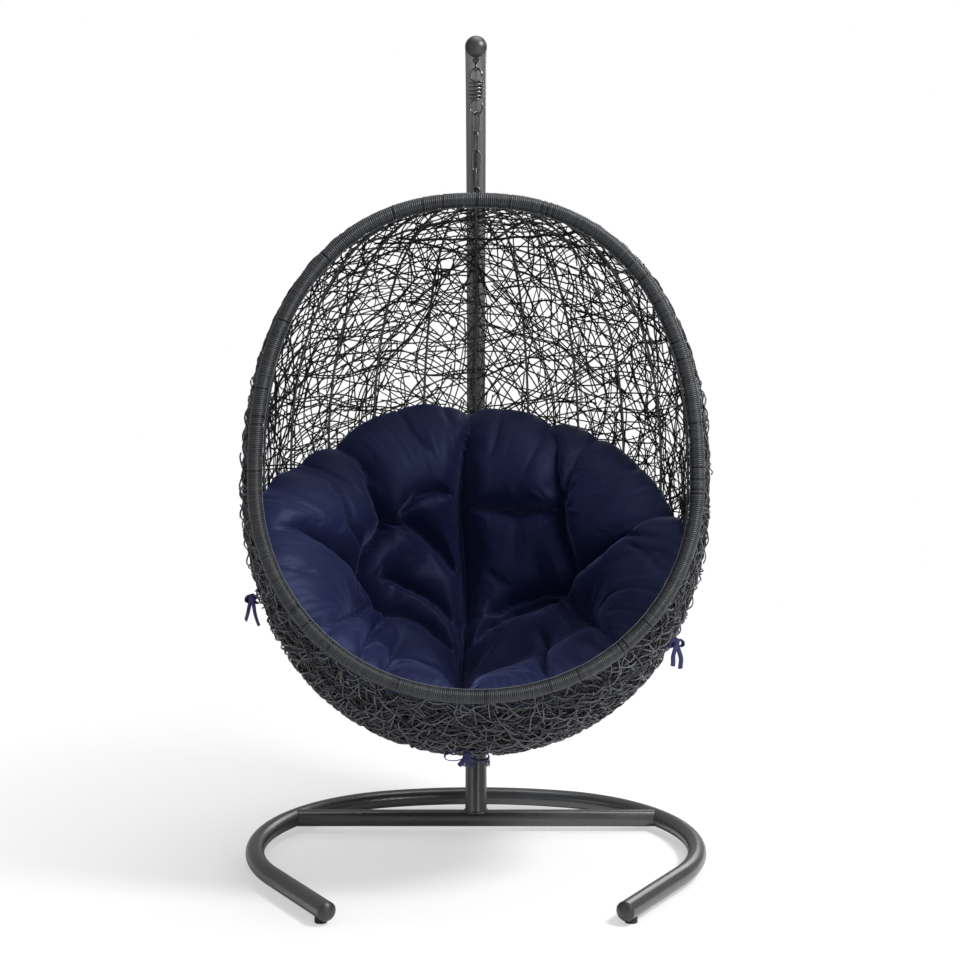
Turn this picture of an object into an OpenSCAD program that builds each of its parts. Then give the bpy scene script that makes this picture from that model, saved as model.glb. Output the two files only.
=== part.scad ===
// Hanging egg chair: a woven egg basket with a cushion, hung by a spring and a short
// chain from a curved post on a C-shaped floor base.
// Sizes are in millimetres and angles in degrees. Z is up, and the chair faces -Y.
// The origin is on the floor, under the middle of the whole chair.

/* [Floor base] */
// Outside width of the C-shaped base
base_w = 1100; // [1040:5:1160]
// Diameter of the base tube
base_tube_d = 44.5; // [42:0.5:48]
// Wall of the base, crossbar and post tubes
tube_wall = 2; // [1.5:0.25:3]
// Centre line radius of the shallow rear arc
rear_arc_r = 900; // [840:10:960]
// Centre line radius of the bends at the sides
bend_r = 400; // [380:5:420]
// Angle at which the front arms turn inwards
arm_in = 32; // [28:1:36]
// Length of the straight front arms
arm_len = 270; // [230:5:300]
// Distance from the crossbar back to the rear arc, between centre lines
rear_gap = 190; // [170:5:210]
// Diameter of the crossbar
crossbar_d = 42; // [38:0.5:44]
// Height of the rubber foot pads under the tube
pad_h = 9.75; // [6:0.25:14]
// Diameter of the foot pads
pad_d = 28; // [22:1:34]
// Height of the domed end caps on the front arms
foot_cap_h = 12; // [8:1:18]

/* [Post] */
// Diameter of the post tube
post_d = 48; // [44:0.5:49]
// Angle by which the straight part leans back
post_lean = 22; // [20:0.5:24]
// Distance of the basket's axis in front of the crossbar's axis
hang_ahead = 363.4; // [358:0.2:370]
// Height of the post's centre line over the basket's axis, above the crossbar's axis
hang_rise = 1861.5; // [1850:0.5:1875]
// Centre line radius of the curved part
post_bend_r = 850; // [830:5:880]
// Bore clearance around the post in its socket, on the radius
socket_gap = 0.4; // [0.2:0.1:0.8]
// Wall of the socket
socket_wall = 2.6; // [2:0.1:4]
// Length of the socket, from the crossbar's axis
socket_len = 235; // [200:5:280]
// Distance of the socket bolt above the crossbar's axis, along the post
socket_bolt_s = 138; // [110:2:160]
// Diameter of the socket bolt
bolt_d = 10; // [8:1:12]
// Diameter of the screws at the post joint
joint_screw_d = 8; // [6:1:8]
// Reach of the inner sleeve on each side of the post joint
sleeve_reach = 70; // [50:5:90]
// Height of the domed cap on the post's end
top_cap_h = 15; // [10:1:20]

/* [Hanger] */
// Distance of the eye bolt behind the post's end, along its centre line
eye_back = 22; // [18:1:40]
// Diameter of the eye bolt's shank
eye_shank_d = 8; // [7:0.5:9]
// Wire of the eye at the end of the eye bolt
eye_wire = 6; // [5:0.25:7]
// Inside diameter of that eye
eye_bore = 10; // [9.5:0.5:14]
// Wire of the spring and its hooks
spring_wire = 5; // [4:0.25:5.5]
// Centre line radius of the spring's upper hook
upper_hook_r = 14.2; // [13:0.2:17]
// Centre line radius of the spring's lower hook
lower_hook_r = 15.85; // [14:0.05:18]
// Outside diameter of the spring's coil
coil_d = 36.6; // [32:0.2:42]
// Turns of the coil, with its two lead-in curls
coil_turns = 5; // [4:1:6]
// Rise of the coil between its two ends
coil_h = 39.5; // [36:0.5:48]
// Turn of the hooks about the vertical
hook_turn = -25; // [-35:1:-15]
// Wire of the chain links
link_wire = 4.5; // [4:0.1:5]
// Outside width of a chain link
link_w = 21.7; // [20:0.1:24]
// Outside length of a chain link
link_len = 50.7; // [46:0.1:54]

/* [Basket] */
// Inside diameter of the eye on top of the basket
basket_eye_bore = 10; // [9.5:0.5:14]
// Height of that eye's centre over the basket's top
basket_eye_rise = 6; // [5:0.5:9]
// Width of the egg where it is widest
egg_w = 1050; // [1020:5:1070]
// Height of the egg above its widest level
egg_up = 673; // [650:1:690]
// Depth of the egg below its widest level
egg_down = 595; // [580:1:620]
// Thickness of the woven wall
weave_t = 5; // [4:0.25:7]
// Width of the rim hoop, between centre lines
rim_w = 954; // [930:2:960]
// Height of the hoop above its own centre
rim_up = 606; // [596:1:612]
// Depth of the hoop below its own centre
rim_down = 463; // [450:1:475]
// Height of the hoop's centre over the egg's widest level
rim_lift = 55; // [50:1:60]
// Distance of the hoop's centre in front of the egg's axis
rim_front = 220; // [210:1:235]
// Angle by which the hoop leans back
rim_tilt = 6; // [4:0.5:8]
// Diameter of the steel hoop
hoop_d = 25.4; // [22:0.2:28]
// Thickness of the strand wrapped round the hoop
wrap_t = 3; // [2:0.25:4]
// Diameter of the ribs
rib_d = 6; // [5:0.25:7]
// Diameter of the plate under the top of the egg
top_plate_d = 72; // [66:1:84]
// Diameter of the plate in the bottom of the egg
bottom_plate_d = 80; // [74:1:86]

/* [Cushion] */
// Thickness of the cushion in the middle of the seat
seat_t = 95; // [80:1:110]
// Thickness of the padded roll around the seat
roll_t = 165; // [140:1:180]
// Angle between straight down and the middle of the cushion
cushion_back_tilt = 41; // [38:0.5:44]
// Reach of the cushion from its middle towards the front
cushion_front_a = 66; // [62:0.5:68]
// Reach of the cushion from its middle towards the back
cushion_rear_a = 67; // [64:0.5:76]
// Reach of the cushion from its middle towards the sides
cushion_side_a = 78; // [74:0.5:90]
// Depth of the sewn tufts
tuft_d = 34; // [20:1:40]
// Depth of the crease between the two halves
crease_d = 38; // [20:1:44]
// Distance of the cushion behind the hoop's centre line
cushion_behind = 22; // [20:1:30]

/* [Ties] */
// Width of the tie ribbons
ribbon_w = 9; // [6:1:12]
// Thickness of the tie ribbons
ribbon_t = 1.6; // [1.2:0.2:2.4]
// Length of the tie tails
tail_len = 62; // [50:2:74]
// Radius of the tie knots
knot_r = 8; // [7:0.5:10]

/* [Hidden] */

$fn = 48;
arc_fn = 480;        // fineness of the tubes' long bends
cut = 1;             // how far a cutting body runs past a face
weld_gap = 0.1;      // left between a coped tube and the tube it is welded to
hang_gap = 0.3;      // left between a hanging loop and the loop that carries it
soft_gap = 0.3;      // left round the wrap, the ribs and the cushion
hole_gap = 0.25;     // between a bolt and its hole, on the radius

// Colours
steel_grey = [0.20, 0.21, 0.22];
bolt_silver = [0.62, 0.63, 0.65];
iron_dark = [0.12, 0.12, 0.13];
rubber_black = [0.05, 0.05, 0.05];
strand_grey = [0.17, 0.18, 0.20];
navy = [0.11, 0.12, 0.27];

// Floor base, measured from the crossbar until crossbar_y moves it
base_r = base_tube_d / 2;
base_z = pad_h + base_r;
crossbar_r = crossbar_d / 2;
bend_x = base_w / 2 - base_r - bend_r;
rear_a = asin(bend_x / (rear_arc_r - bend_r));
rear_c = rear_gap - rear_arc_r;
bend_c = rear_c + (rear_arc_r - bend_r) * cos(rear_a);
arm_start = [bend_x + bend_r * cos(arm_in), bend_c - bend_r * sin(arm_in)];
arm_end = arm_start - arm_len * [sin(arm_in), cos(arm_in)];
foot_dome_r = (base_r * base_r + foot_cap_h * foot_cap_h) / (2 * foot_cap_h);
crossbar_half = bend_x + sqrt(bend_r * bend_r - bend_c * bend_c);

// Post, measured from the crossbar's axis: its straight length and its turn carry the eye over
// the basket's axis
post_r = post_d / 2;
eye_a = acos(1 - (hang_ahead * cos(post_lean) + hang_rise * sin(post_lean)) / post_bend_r)
    - post_lean;
post_straight = (post_bend_r * (cos(post_lean) - cos(eye_a)) - hang_ahead) / sin(post_lean);
post_turn = eye_a + eye_back / post_bend_r * 180 / PI;
post_sweep = post_turn + post_lean;
bow_c = post_straight * sin(post_lean) - post_bend_r * cos(post_lean);
bow_z = base_z + post_straight * cos(post_lean) + post_bend_r * sin(post_lean);
socket_r = post_r + socket_gap + socket_wall;
socket_start = 8;
post_start = 46;

// The chair's box is centred front to back by where the crossbar lies
front_reach = -arm_end[1] - (foot_dome_r - foot_cap_h) * cos(arm_in) + foot_dome_r;
rear_reach = bow_c + post_bend_r + post_r;
crossbar_y = (front_reach - rear_reach) / 2;
bow_y = crossbar_y + bow_c;

// Eye bolt, on the vertical through the basket's axis
hang_y = bow_y + post_bend_r * cos(eye_a);
hang_dy = hang_y - bow_y;
tube_under_z = bow_z + sqrt(pow(post_bend_r - post_r, 2) - hang_dy * hang_dy);
tube_top_z = bow_z + sqrt(pow(post_bend_r + post_r, 2) - hang_dy * hang_dy);
washer_r = eye_shank_d;
washer_h = 3.2;
collar_h = 2;
cap_nut_h = 4;
eye_r = (eye_bore + eye_wire) / 2;
eye_z = tube_under_z - washer_h - collar_h + eye_wire / 12 - eye_r - eye_wire / 2;

// Spring: hooks, coil and its lead-in curls
spring_r = spring_wire / 2;
top_crest_z = eye_z - eye_r + (eye_wire + spring_wire) / 2 + hang_gap;
coil_top_z = top_crest_z - 2 * upper_hook_r;
coil_bottom_z = coil_top_z - coil_h;
bottom_crest_z = coil_bottom_z - 2 * lower_hook_r;
coil_r = (coil_d - spring_wire) / 2;
lead_r = (coil_r * coil_r - spring_wire * spring_wire) / (2 * coil_r);
lead_a = atan2(lead_r, spring_wire);
curl_rings = 8;      // rings of the tube in one curl
wire_sides = 6;
hook_stem_a = 270;   // where a hook's ring meets its stem, from its right-hand side
hook_end_up = -15;   // where the upper hook ends, from its right-hand side
hook_end_low = 30;   // where the lower hook ends

// Chain: every link hangs in the one above it
link_turns = [32, 112, 180, 270];
link_r = (link_w - link_wire) / 2;
link_c = link_len - link_wire;                     // between the two end wires
link_pitch = link_c - link_wire - hang_gap;
link_top_z = bottom_crest_z + (spring_wire + link_wire) / 2 + hang_gap;
function link_z(k) = link_top_z - (k - 1) * link_pitch;

// Basket, hung on the last link
basket_eye_r = (basket_eye_bore + eye_wire) / 2;
basket_crest_z = link_z(4) - link_c + (link_wire + eye_wire) / 2 + hang_gap;
basket_eye_z = basket_crest_z - basket_eye_r;
egg_top_z = basket_eye_z - basket_eye_rise;
egg_z = egg_top_z - egg_up;                        // the egg's widest level
egg_round_up = 2.3;    // 2 gives an ellipse, more gives fuller shoulders
egg_round_down = 2.1;
rim_round_up = 2.3;
rim_round_down = 2.08;
rim_z = egg_z + rim_lift;
wrap_r = hoop_d / 2 + hang_gap + wrap_t;
edge_back = wrap_r - 0.55;                         // the weave's edge, behind the hoop
edge_out = 8;                                      // and outside its centre line
front_turn = 50;                                   // how far the front wall turns in
facet_drop = 4.0;                                  // how far a flat facet lies inside the egg
rib_r = rib_d / 2;
rib_sides = 6;
rib_step_a = 15;
rib_rings = 24;
rib_in = weave_t + facet_drop + soft_gap + rib_r;  // rib centre line, in from the outside
rib_drop = 1.4;                                    // how far a straight piece of rib cuts inside
top_plate_t = 5.6;
bottom_plate_t = 3.9;
hub_r = 5;                                         // stem of the basket's eye
hub_hole_r = 15;                                   // hole in the weave round that stem

// Cushion
cushion_in = rib_in + rib_r + rib_drop + soft_gap;

// ---- helpers ----

function cat(lists) = [for (l = lists) for (v = l) v];

// Both triangles of every cell between two rings of n points, first points a and b
function band(a, b, n) = [
    for (i = [0 : n - 1])
        let (j = (i + 1) % n)
        each [[a + i, b + i, b + j], [a + i, b + j, a + j]]
];

// The same cells seen from the other side
function flipped(faces) = [for (f = faces) [f[0], f[2], f[1]]];

// A solid through equal rings of points, closed by flat fans at both ends
module ring_solid(rings) {
    n = len(rings[0]);
    last = (len(rings) - 1) * n;
    polyhedron(
        points = cat(rings),
        faces = [
            for (k = [0 : len(rings) - 2]) each band(k * n, (k + 1) * n, n),
            for (i = [1 : n - 2]) [0, i, i + 1],
            for (i = [1 : n - 2]) [last, last + i + 1, last + i]
        ],
        convexity = 10
    );
}

// A closed loop of equal rings
module loop_solid(rings) {
    n = len(rings[0]);
    count = len(rings);
    polyhedron(
        points = cat(rings),
        faces = [for (k = [0 : count - 1]) each band(k * n, ((k + 1) % count) * n, n)],
        convexity = 10
    );
}

function unit(v) = v / norm(v);

// Ring of the given radius around p, square to the direction t
function wire_ring(p, t, up, r, sides) =
    let (side = unit(cross(t, up)), top = cross(side, t))
    [for (i = [0 : sides - 1]) p + r * (cos(i * 360 / sides) * side + sin(i * 360 / sides) * top)];

// Direction of a path at its point i
function heading(path, i) =
    unit(path[min(i + 1, len(path) - 1)] - path[max(i - 1, 0)]);

// ---- tubes ----

module tube_section(r, wall) {
    difference() {
        circle(r);
        circle(r - wall);
    }
}

module straight_tube(r, wall, l) {
    linear_extrude(l) tube_section(r, wall);
}

module bent_tube(bend, r, wall, from_a, turn_a) {
    rotate_extrude(start = from_a, angle = turn_a, $fn = arc_fn)
        translate([bend, 0]) tube_section(r, wall, $fn = 48);
}

module bent_rod(bend, r, from_a, turn_a) {
    rotate_extrude(start = from_a, angle = turn_a, $fn = bend > 100 ? arc_fn : 48)
        translate([bend, 0]) circle(r, $fn = 48);
}

// A shallow dome of height h on a disc of radius r, its flat side on z = 0
module dome(r, h) {
    big_r = (r * r + h * h) / (2 * h);
    intersection() {
        translate([0, 0, h - big_r]) sphere(big_r, $fn = 64);
        cylinder(r = r + cut, h = h + cut);
    }
}

// End plug: a dome outside and a skirt inside the tube
plug_skirt = 12;
module end_plug(tube_r, wall, h) {
    skirt_r = tube_r - wall - soft_gap;
    dome(tube_r, h);
    translate([0, 0, -plug_skirt]) cylinder(r = skirt_r, h = plug_skirt);
}

module hex_nut(across, h) {
    cylinder(d = across / cos(30), h = h, $fn = 6);
}

// ---- floor base ----

module at_crossbar() {
    translate([0, crossbar_y, base_z]) children();
}

module at_bend(side) {
    at_crossbar() mirror([side < 0 ? 1 : 0, 0, 0]) translate([bend_x, bend_c, 0]) children();
}

module at_arm(side, along) {
    p = arm_start - along * [sin(arm_in), cos(arm_in)];
    at_crossbar() mirror([side < 0 ? 1 : 0, 0, 0]) translate([p[0], p[1], 0])
        rotate([90, 0, -arm_in]) children();
}

module base_rear() {
    half_a = rear_a - weld_gap / rear_arc_r * 180 / PI;
    color(steel_grey) at_crossbar() translate([0, rear_c, 0])
        bent_tube(rear_arc_r, base_r, tube_wall, 90 - half_a, 2 * half_a);
}

// Side bend with its front arm
module base_side(side) {
    color(steel_grey) {
        at_bend(side) bent_tube(bend_r, base_r, tube_wall, -arm_in, 90 - rear_a + arm_in);
        at_arm(side, 0) straight_tube(base_r, tube_wall, arm_len);
    }
}

module base_left() {
    base_side(-1);
}

module base_right() {
    base_side(1);
}

module crossbar() {
    color(steel_grey) difference() {
        at_crossbar() translate([-crossbar_half, 0, 0]) rotate([0, 90, 0])
            straight_tube(crossbar_r, tube_wall, 2 * crossbar_half);
        for (side = [-1, 1])
            at_bend(side) bent_rod(bend_r, base_r + weld_gap, 0, 90);
    }
}

module foot_cap_left() {
    color(rubber_black) at_arm(-1, arm_len) end_plug(base_r, tube_wall, foot_cap_h);
}

module foot_cap_right() {
    color(rubber_black) at_arm(1, arm_len) end_plug(base_r, tube_wall, foot_cap_h);
}

// Pads under both arms, both bends and the middle of the rear arc, hollowed to the tube
pad_arm_at = arm_len - pad_d;
pad_turn = 8;
module foot_pads() {
    pad_rise = pad_h + base_r / 4;
    color(rubber_black) {
        for (side = [-1, 1]) {
            difference() {
                at_arm(side, pad_arm_at) rotate([-90, 0, 0]) translate([0, 0, -base_z])
                    cylinder(d = pad_d, h = pad_rise);
                at_arm(side, 0) cylinder(r = base_r + weld_gap, h = arm_len);
            }
            at_bend(side) difference() {
                translate([bend_r, 0, -base_z]) cylinder(d = pad_d, h = pad_rise);
                bent_rod(bend_r, base_r + weld_gap, -pad_turn, 2 * pad_turn);
            }
        }
        at_crossbar() translate([0, rear_c, 0]) difference() {
            translate([0, rear_arc_r, -base_z]) cylinder(d = pad_d, h = pad_rise);
            bent_rod(rear_arc_r, base_r + weld_gap, 90 - pad_turn, 2 * pad_turn);
        }
    }
}

// ---- post ----

// Z along the straight part of the post, from the crossbar's axis
module along_post() {
    at_crossbar() rotate([-post_lean, 0, 0]) children();
}

// The curve of the post: its plane is YZ and its angles run up from +Y
module at_bow() {
    translate([0, bow_y, bow_z]) rotate([90, 0, 90]) children();
}

// Bolt along X through the post at height s: shank only
module cross_shank(s, d, half_l) {
    along_post() translate([-half_l, 0, s]) rotate([0, 90, 0]) cylinder(d = d, h = 2 * half_l);
}

// The same, square to the curved part at angle a
module bow_shank(a, d, half_l) {
    at_bow() rotate([0, 0, a]) translate([post_bend_r, 0, -half_l]) cylinder(d = d, h = 2 * half_l);
}

joint_screw_in = 35;                                // screw's distance from the joint
joint_screw_a = joint_screw_in / post_bend_r * 180 / PI - post_lean;
screw_out = 3;                                      // how far screw heads stand out
screw_hole_d = joint_screw_d + 2 * hole_gap;

module post_socket() {
    color(steel_grey) difference() {
        along_post() translate([0, 0, socket_start])
            straight_tube(socket_r, socket_wall, socket_len - socket_start);
        at_crossbar() rotate([0, 90, 0])
            cylinder(r = crossbar_r + weld_gap, h = 4 * socket_r, center = true);
        cross_shank(socket_bolt_s, bolt_d + 2 * hole_gap, 2 * socket_r);
    }
}

module post_lower() {
    color(steel_grey) difference() {
        along_post() translate([0, 0, post_start])
            straight_tube(post_r, tube_wall, post_straight - post_start);
        cross_shank(socket_bolt_s, bolt_d + 2 * hole_gap, 2 * post_r);
        cross_shank(post_straight - joint_screw_in, screw_hole_d, 2 * post_r);
    }
}

module post_upper() {
    color(steel_grey) difference() {
        at_bow() bent_tube(post_bend_r, post_r, tube_wall, -post_lean, post_sweep);
        bow_shank(joint_screw_a, screw_hole_d, 2 * post_r);
        translate([0, hang_y, bow_z]) cylinder(d = eye_shank_d + 2 * hole_gap, h = 2 * post_bend_r);
    }
}

// Inner sleeve that joins the two lengths of the post
module post_sleeve() {
    sleeve_r = post_r - tube_wall - weld_gap;
    color(steel_grey) difference() {
        union() {
            along_post() translate([0, 0, post_straight - sleeve_reach])
                straight_tube(sleeve_r, tube_wall, sleeve_reach);
            at_bow() bent_tube(post_bend_r, sleeve_r, tube_wall, -post_lean,
                sleeve_reach / post_bend_r * 180 / PI);
        }
        cross_shank(post_straight - joint_screw_in, screw_hole_d, 2 * post_r);
        bow_shank(joint_screw_a, screw_hole_d, 2 * post_r);
    }
}

module joint_screws() {
    half_l = post_r + hang_gap;
    color(bolt_silver) {
        cross_shank(post_straight - joint_screw_in, joint_screw_d, half_l);
        bow_shank(joint_screw_a, joint_screw_d, half_l);
        for (side = [0, 180]) {
            along_post() translate([0, 0, post_straight - joint_screw_in]) rotate([0, 90, side])
                translate([0, 0, half_l]) dome(joint_screw_d, screw_out);
            at_bow() rotate([side, 0, joint_screw_a])
                translate([post_bend_r, 0, half_l]) dome(joint_screw_d, screw_out);
        }
    }
}

module top_cap() {
    color(rubber_black) at_bow() rotate([0, 0, post_turn]) translate([post_bend_r, 0, 0])
        rotate([-90, 0, 0]) end_plug(post_r, tube_wall, top_cap_h);
}

// Socket bolt: hex head on the right, acorn nut on the left, a washer under each
washer_t = 2;
bolt_across = 1.6 * bolt_d;
bolt_seat = socket_r + washer_t + weld_gap;

module socket_bolt() {
    color(bolt_silver) {
        along_post() translate([-bolt_seat - 8, 0, socket_bolt_s]) rotate([0, 90, 0])
            cylinder(d = bolt_d, h = 2 * bolt_seat + 8 + cut);
        along_post() translate([bolt_seat, 0, socket_bolt_s]) rotate([0, 90, 0])
            hex_nut(bolt_across, 0.65 * bolt_d);
    }
}

module socket_washers() {
    color(bolt_silver) for (side = [0, 180])
        along_post() translate([0, 0, socket_bolt_s]) rotate([0, 90, side])
            translate([0, 0, bolt_seat - washer_t]) difference() {
                cylinder(d = 2 * bolt_d, h = washer_t);
                translate([0, 0, -cut]) cylinder(d = bolt_d + hole_gap, h = washer_t + 2 * cut);
            }
}

module socket_nut() {
    color(bolt_silver) along_post() translate([-bolt_seat, 0, socket_bolt_s]) rotate([0, -90, 0])
        difference() {
            union() {
                hex_nut(bolt_across, 0.9 * bolt_d);
                translate([0, 0, 0.9 * bolt_d]) dome(0.47 * bolt_across, 0.45 * bolt_d);
            }
            translate([0, 0, -cut]) cylinder(d = bolt_d + 2 * weld_gap, h = 8 + 2 * cut);
        }
}

// ---- eye bolt in the post's end ----

module post_end_rod(r) {
    at_bow() bent_rod(post_bend_r, r, post_turn - 6, 6);
}

module eye_bolt() {
    shank_low = eye_z + eye_r;
    color(iron_dark) {
        translate([0, hang_y, eye_z]) rotate([90, 0, 90]) bent_rod(eye_r, eye_wire / 2, 0, 360);
        translate([0, hang_y, tube_under_z - washer_h - collar_h])
            cylinder(r = eye_shank_d * 0.75, h = collar_h);
        translate([0, hang_y, shank_low])
            cylinder(d = eye_shank_d, h = tube_top_z - shank_low);
    }
}

// Washers hollowed to the round of the tube: one below it and one inside its top
module eye_washers() {
    color(iron_dark) difference() {
        translate([0, hang_y, tube_under_z - washer_h]) difference() {
            cylinder(r = washer_r, h = 3 * washer_h);
            translate([0, 0, -cut]) cylinder(d = eye_shank_d + hole_gap, h = 4 * washer_h);
        }
        post_end_rod(post_r + weld_gap);
    }
}

module eye_cap_nut() {
    color(iron_dark) difference() {
        translate([0, hang_y, tube_top_z - cap_nut_h]) {
            cylinder(r = washer_r, h = cap_nut_h + 1.5);
            translate([0, 0, cap_nut_h + 1.5]) dome(washer_r, cap_nut_h - 1.5);
        }
        post_end_rod(post_r + weld_gap);
        translate([0, hang_y, tube_top_z - 2 * cap_nut_h])
            cylinder(d = eye_shank_d + 2 * weld_gap, h = 2 * cap_nut_h + weld_gap);
    }
}

// ---- spring ----

// Upright plane of a hook or link: its X turned by a, its Y up
module upright(z, a) {
    translate([0, hang_y, z]) rotate([0, 0, a]) rotate([90, 0, 0]) children();
}

module spring_top_hook() {
    color(iron_dark) upright(top_crest_z - upper_hook_r, hook_turn)
        bent_rod(upper_hook_r, spring_r, hook_end_up, hook_stem_a - hook_end_up);
}

module spring_bottom_hook() {
    color(iron_dark) upright(bottom_crest_z + lower_hook_r, hook_turn)
        bent_rod(lower_hook_r, spring_r, hook_stem_a - 180, hook_stem_a + hook_end_low);
}

// Half of the coil's plan: a straight start, the lead-in curl, then the coil itself
lead_turn = lead_a + 90;
lead_steps = 4;
coil_sweep = 360 * coil_turns - 2 * lead_a;
coil_steps = ceil(coil_sweep / 360 * curl_rings);
function lead_point(i, side) =
    let (a = lead_turn * i / lead_steps)
    [spring_wire + lead_r * sin(a), side * lead_r * (1 - cos(a))];
function coil_point(i) =
    let (a = lead_a + coil_sweep * i / coil_steps)
    [coil_r * cos(a), coil_r * sin(a), -coil_h * i / coil_steps];
coil_path = [
    [0, 0, 0],
    for (i = [0 : lead_steps - 1]) [lead_point(i, 1)[0], lead_point(i, 1)[1], 0],
    for (i = [0 : coil_steps]) coil_point(i),
    for (i = [lead_steps - 1 : -1 : 0]) [lead_point(i, -1)[0], lead_point(i, -1)[1], -coil_h],
    [0, 0, -coil_h]
];
coil_last = len(coil_path) - 1;
// The end rings lie square to the hooks they meet
function coil_heading(i) =
    i <= 1 ? [1, 0, 0] : i >= coil_last - 1 ? [-1, 0, 0] : heading(coil_path, i);
coil_self_gap = min([
    for (i = [0 : coil_last], j = [i + 5 : 1 : coil_last])
        norm(coil_path[i] - coil_path[j])
]) - spring_wire;
echo(coil_self_gap = coil_self_gap);

module spring_coil() {
    color(iron_dark) translate([0, hang_y, coil_top_z]) rotate([0, 0, hook_turn])
        ring_solid([
            for (i = [0 : coil_last])
                wire_ring(coil_path[i], coil_heading(i), [0, 0, 1], spring_r, wire_sides)
        ]);
}

// ---- chain ----

module chain_link(k) {
    upright(link_z(k), link_turns[k - 1]) {
        translate([0, -link_r, 0]) bent_rod(link_r, link_wire / 2, 0, 180);
        translate([0, link_r - link_c, 0]) bent_rod(link_r, link_wire / 2, 180, 180);
        for (side = [-1, 1])
            translate([side * link_r, -link_r, 0]) rotate([90, 0, 0])
                cylinder(d = link_wire, h = link_c - 2 * link_r);
    }
}

module chain_link_1() {
    color(iron_dark) chain_link(1);
}

module chain_link_2() {
    color(iron_dark) chain_link(2);
}

module chain_link_3() {
    color(iron_dark) chain_link(3);
}

module chain_link_4() {
    color(iron_dark) chain_link(4);
}

// ---- the egg's surface ----

// Radius of a rounded oval at angle a from its top
function oval_r(a, half_w, up, down, round_up, round_down) =
    let (p = cos(a) >= 0 ? round_up : round_down, h = cos(a) >= 0 ? up : down)
    pow(pow(abs(sin(a)) / half_w, p) + pow(abs(cos(a)) / h, p), -1 / p);

function egg_r(a) = oval_r(a, egg_w / 2, egg_up, egg_down, egg_round_up, egg_round_down);
function rim_r(a) = oval_r(a, rim_w / 2, rim_up, rim_down, rim_round_up, rim_round_down);

// Point at (x, up) in the hoop's leaning plane, and back square to it
function in_rim_plane(x, up, back) = [
    x,
    hang_y - rim_front + up * sin(rim_tilt) + back * cos(rim_tilt),
    rim_z + up * cos(rim_tilt) - back * sin(rim_tilt)
];

// Point of the wall's edge at angle a round the hoop
function edge_point(a, inset) =
    let (r = rim_r(a) + edge_out - inset)
    in_rim_plane(r * sin(a), r * cos(a), edge_back);

// Back half of the wall: meridian at angle phi from the back, angle t from the top
function back_point(t, phi, inset) =
    let (r = egg_r(t) - inset)
    [r * sin(t) * sin(phi), hang_y + r * sin(t) * cos(phi), egg_z + r * cos(t)];

// Front wall: from the side meridian (u = 0) to the edge at the hoop (u = 1)
function front_mix(u) = (1 - cos(u * front_turn)) / (1 - cos(front_turn));
function front_run(u) = sin(u * front_turn) / sin(front_turn);
function front_point(a, u, inset) =
    let (
        r = egg_r(a) - inset,
        side = [r * sin(a), hang_y, egg_z + r * cos(a)],
        edge = edge_point(a, inset),
        m = front_mix(u),
        g = front_run(u)
    )
    [
        (1 - m) * side[0] + m * edge[0],
        (1 - g) * side[1] + g * edge[1],
        (1 - m) * side[2] + m * edge[2]
    ];

// Wall point on the loop at angle a, for back rings (b from 0 to 90) and front rings
function wall_point(a, b, inset) =
    let (d = [sin(b) * sin(a), cos(b), sin(b) * cos(a)], t = acos(d[2]), r = egg_r(t) - inset)
    [r * d[0], hang_y + r * d[1], egg_z + r * d[2]];

// ---- basket frame ----

module basket_eye() {
    stem_low = plate_top_z - top_plate_t - 8;
    color(iron_dark) {
        translate([0, hang_y, basket_eye_z]) rotate([90, 0, 0])
            bent_rod(basket_eye_r, eye_wire / 2, 0, 360);
        translate([0, hang_y, plate_top_z + weld_gap])
            cylinder(r = 11, h = basket_eye_z - basket_eye_r - plate_top_z);
        translate([0, hang_y, stem_low])
            cylinder(r = hub_r, h = basket_eye_z - basket_eye_r - stem_low);
    }
}

plate_top_z = egg_top_z - rib_in + top_plate_t / 2;
module top_plate() {
    color(steel_grey) translate([0, hang_y, plate_top_z - top_plate_t]) difference() {
        cylinder(d = top_plate_d, h = top_plate_t);
        translate([0, 0, -cut]) cylinder(r = hub_r + weld_gap, h = top_plate_t + 2 * cut);
    }
}

module basket_eye_nut() {
    nut_h = 6.5;
    color(iron_dark) translate([0, hang_y, plate_top_z - top_plate_t - weld_gap - nut_h]) difference() {
        hex_nut(3.4 * hub_r, nut_h);
        translate([0, 0, -cut]) cylinder(r = hub_r + weld_gap, h = nut_h + 2 * cut);
    }
}

bottom_plate_z = egg_z - egg_down + cushion_in - soft_gap;
module bottom_plate() {
    color(steel_grey) translate([0, hang_y, bottom_plate_z - bottom_plate_t])
        cylinder(d = bottom_plate_d, h = bottom_plate_t);
}

// First and last angle of a rib, where it meets the two plates
rib_top_a = asin((top_plate_d / 2 + 2 * soft_gap) / (egg_up - rib_in));
rib_bottom_a = 180 - asin((bottom_plate_d / 2 + 2 * soft_gap) / (egg_down - rib_in));

module rib(path) {
    ring_solid([
        for (i = [0 : len(path) - 1])
            wire_ring(path[i], heading(path, i), [0.31, 0.17, 0.94], rib_r, rib_sides)
    ]);
}

module ribs_back() {
    color(steel_grey) for (phi = [-90 : rib_step_a : 90])
        rib([
            for (i = [0 : rib_rings])
                back_point(rib_top_a + (rib_bottom_a - rib_top_a) * i / rib_rings, phi, rib_in)
        ]);
}

front_rib_rings = 6;
front_rib_end = 0.92;                               // run at which a front rib meets the hoop
front_rib_in = [rib_in - 3.1, rib_in + 0.2];        // its centre line at the top, bottom plate
front_rib_lean = 4;                                 // how much further in it ends

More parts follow.
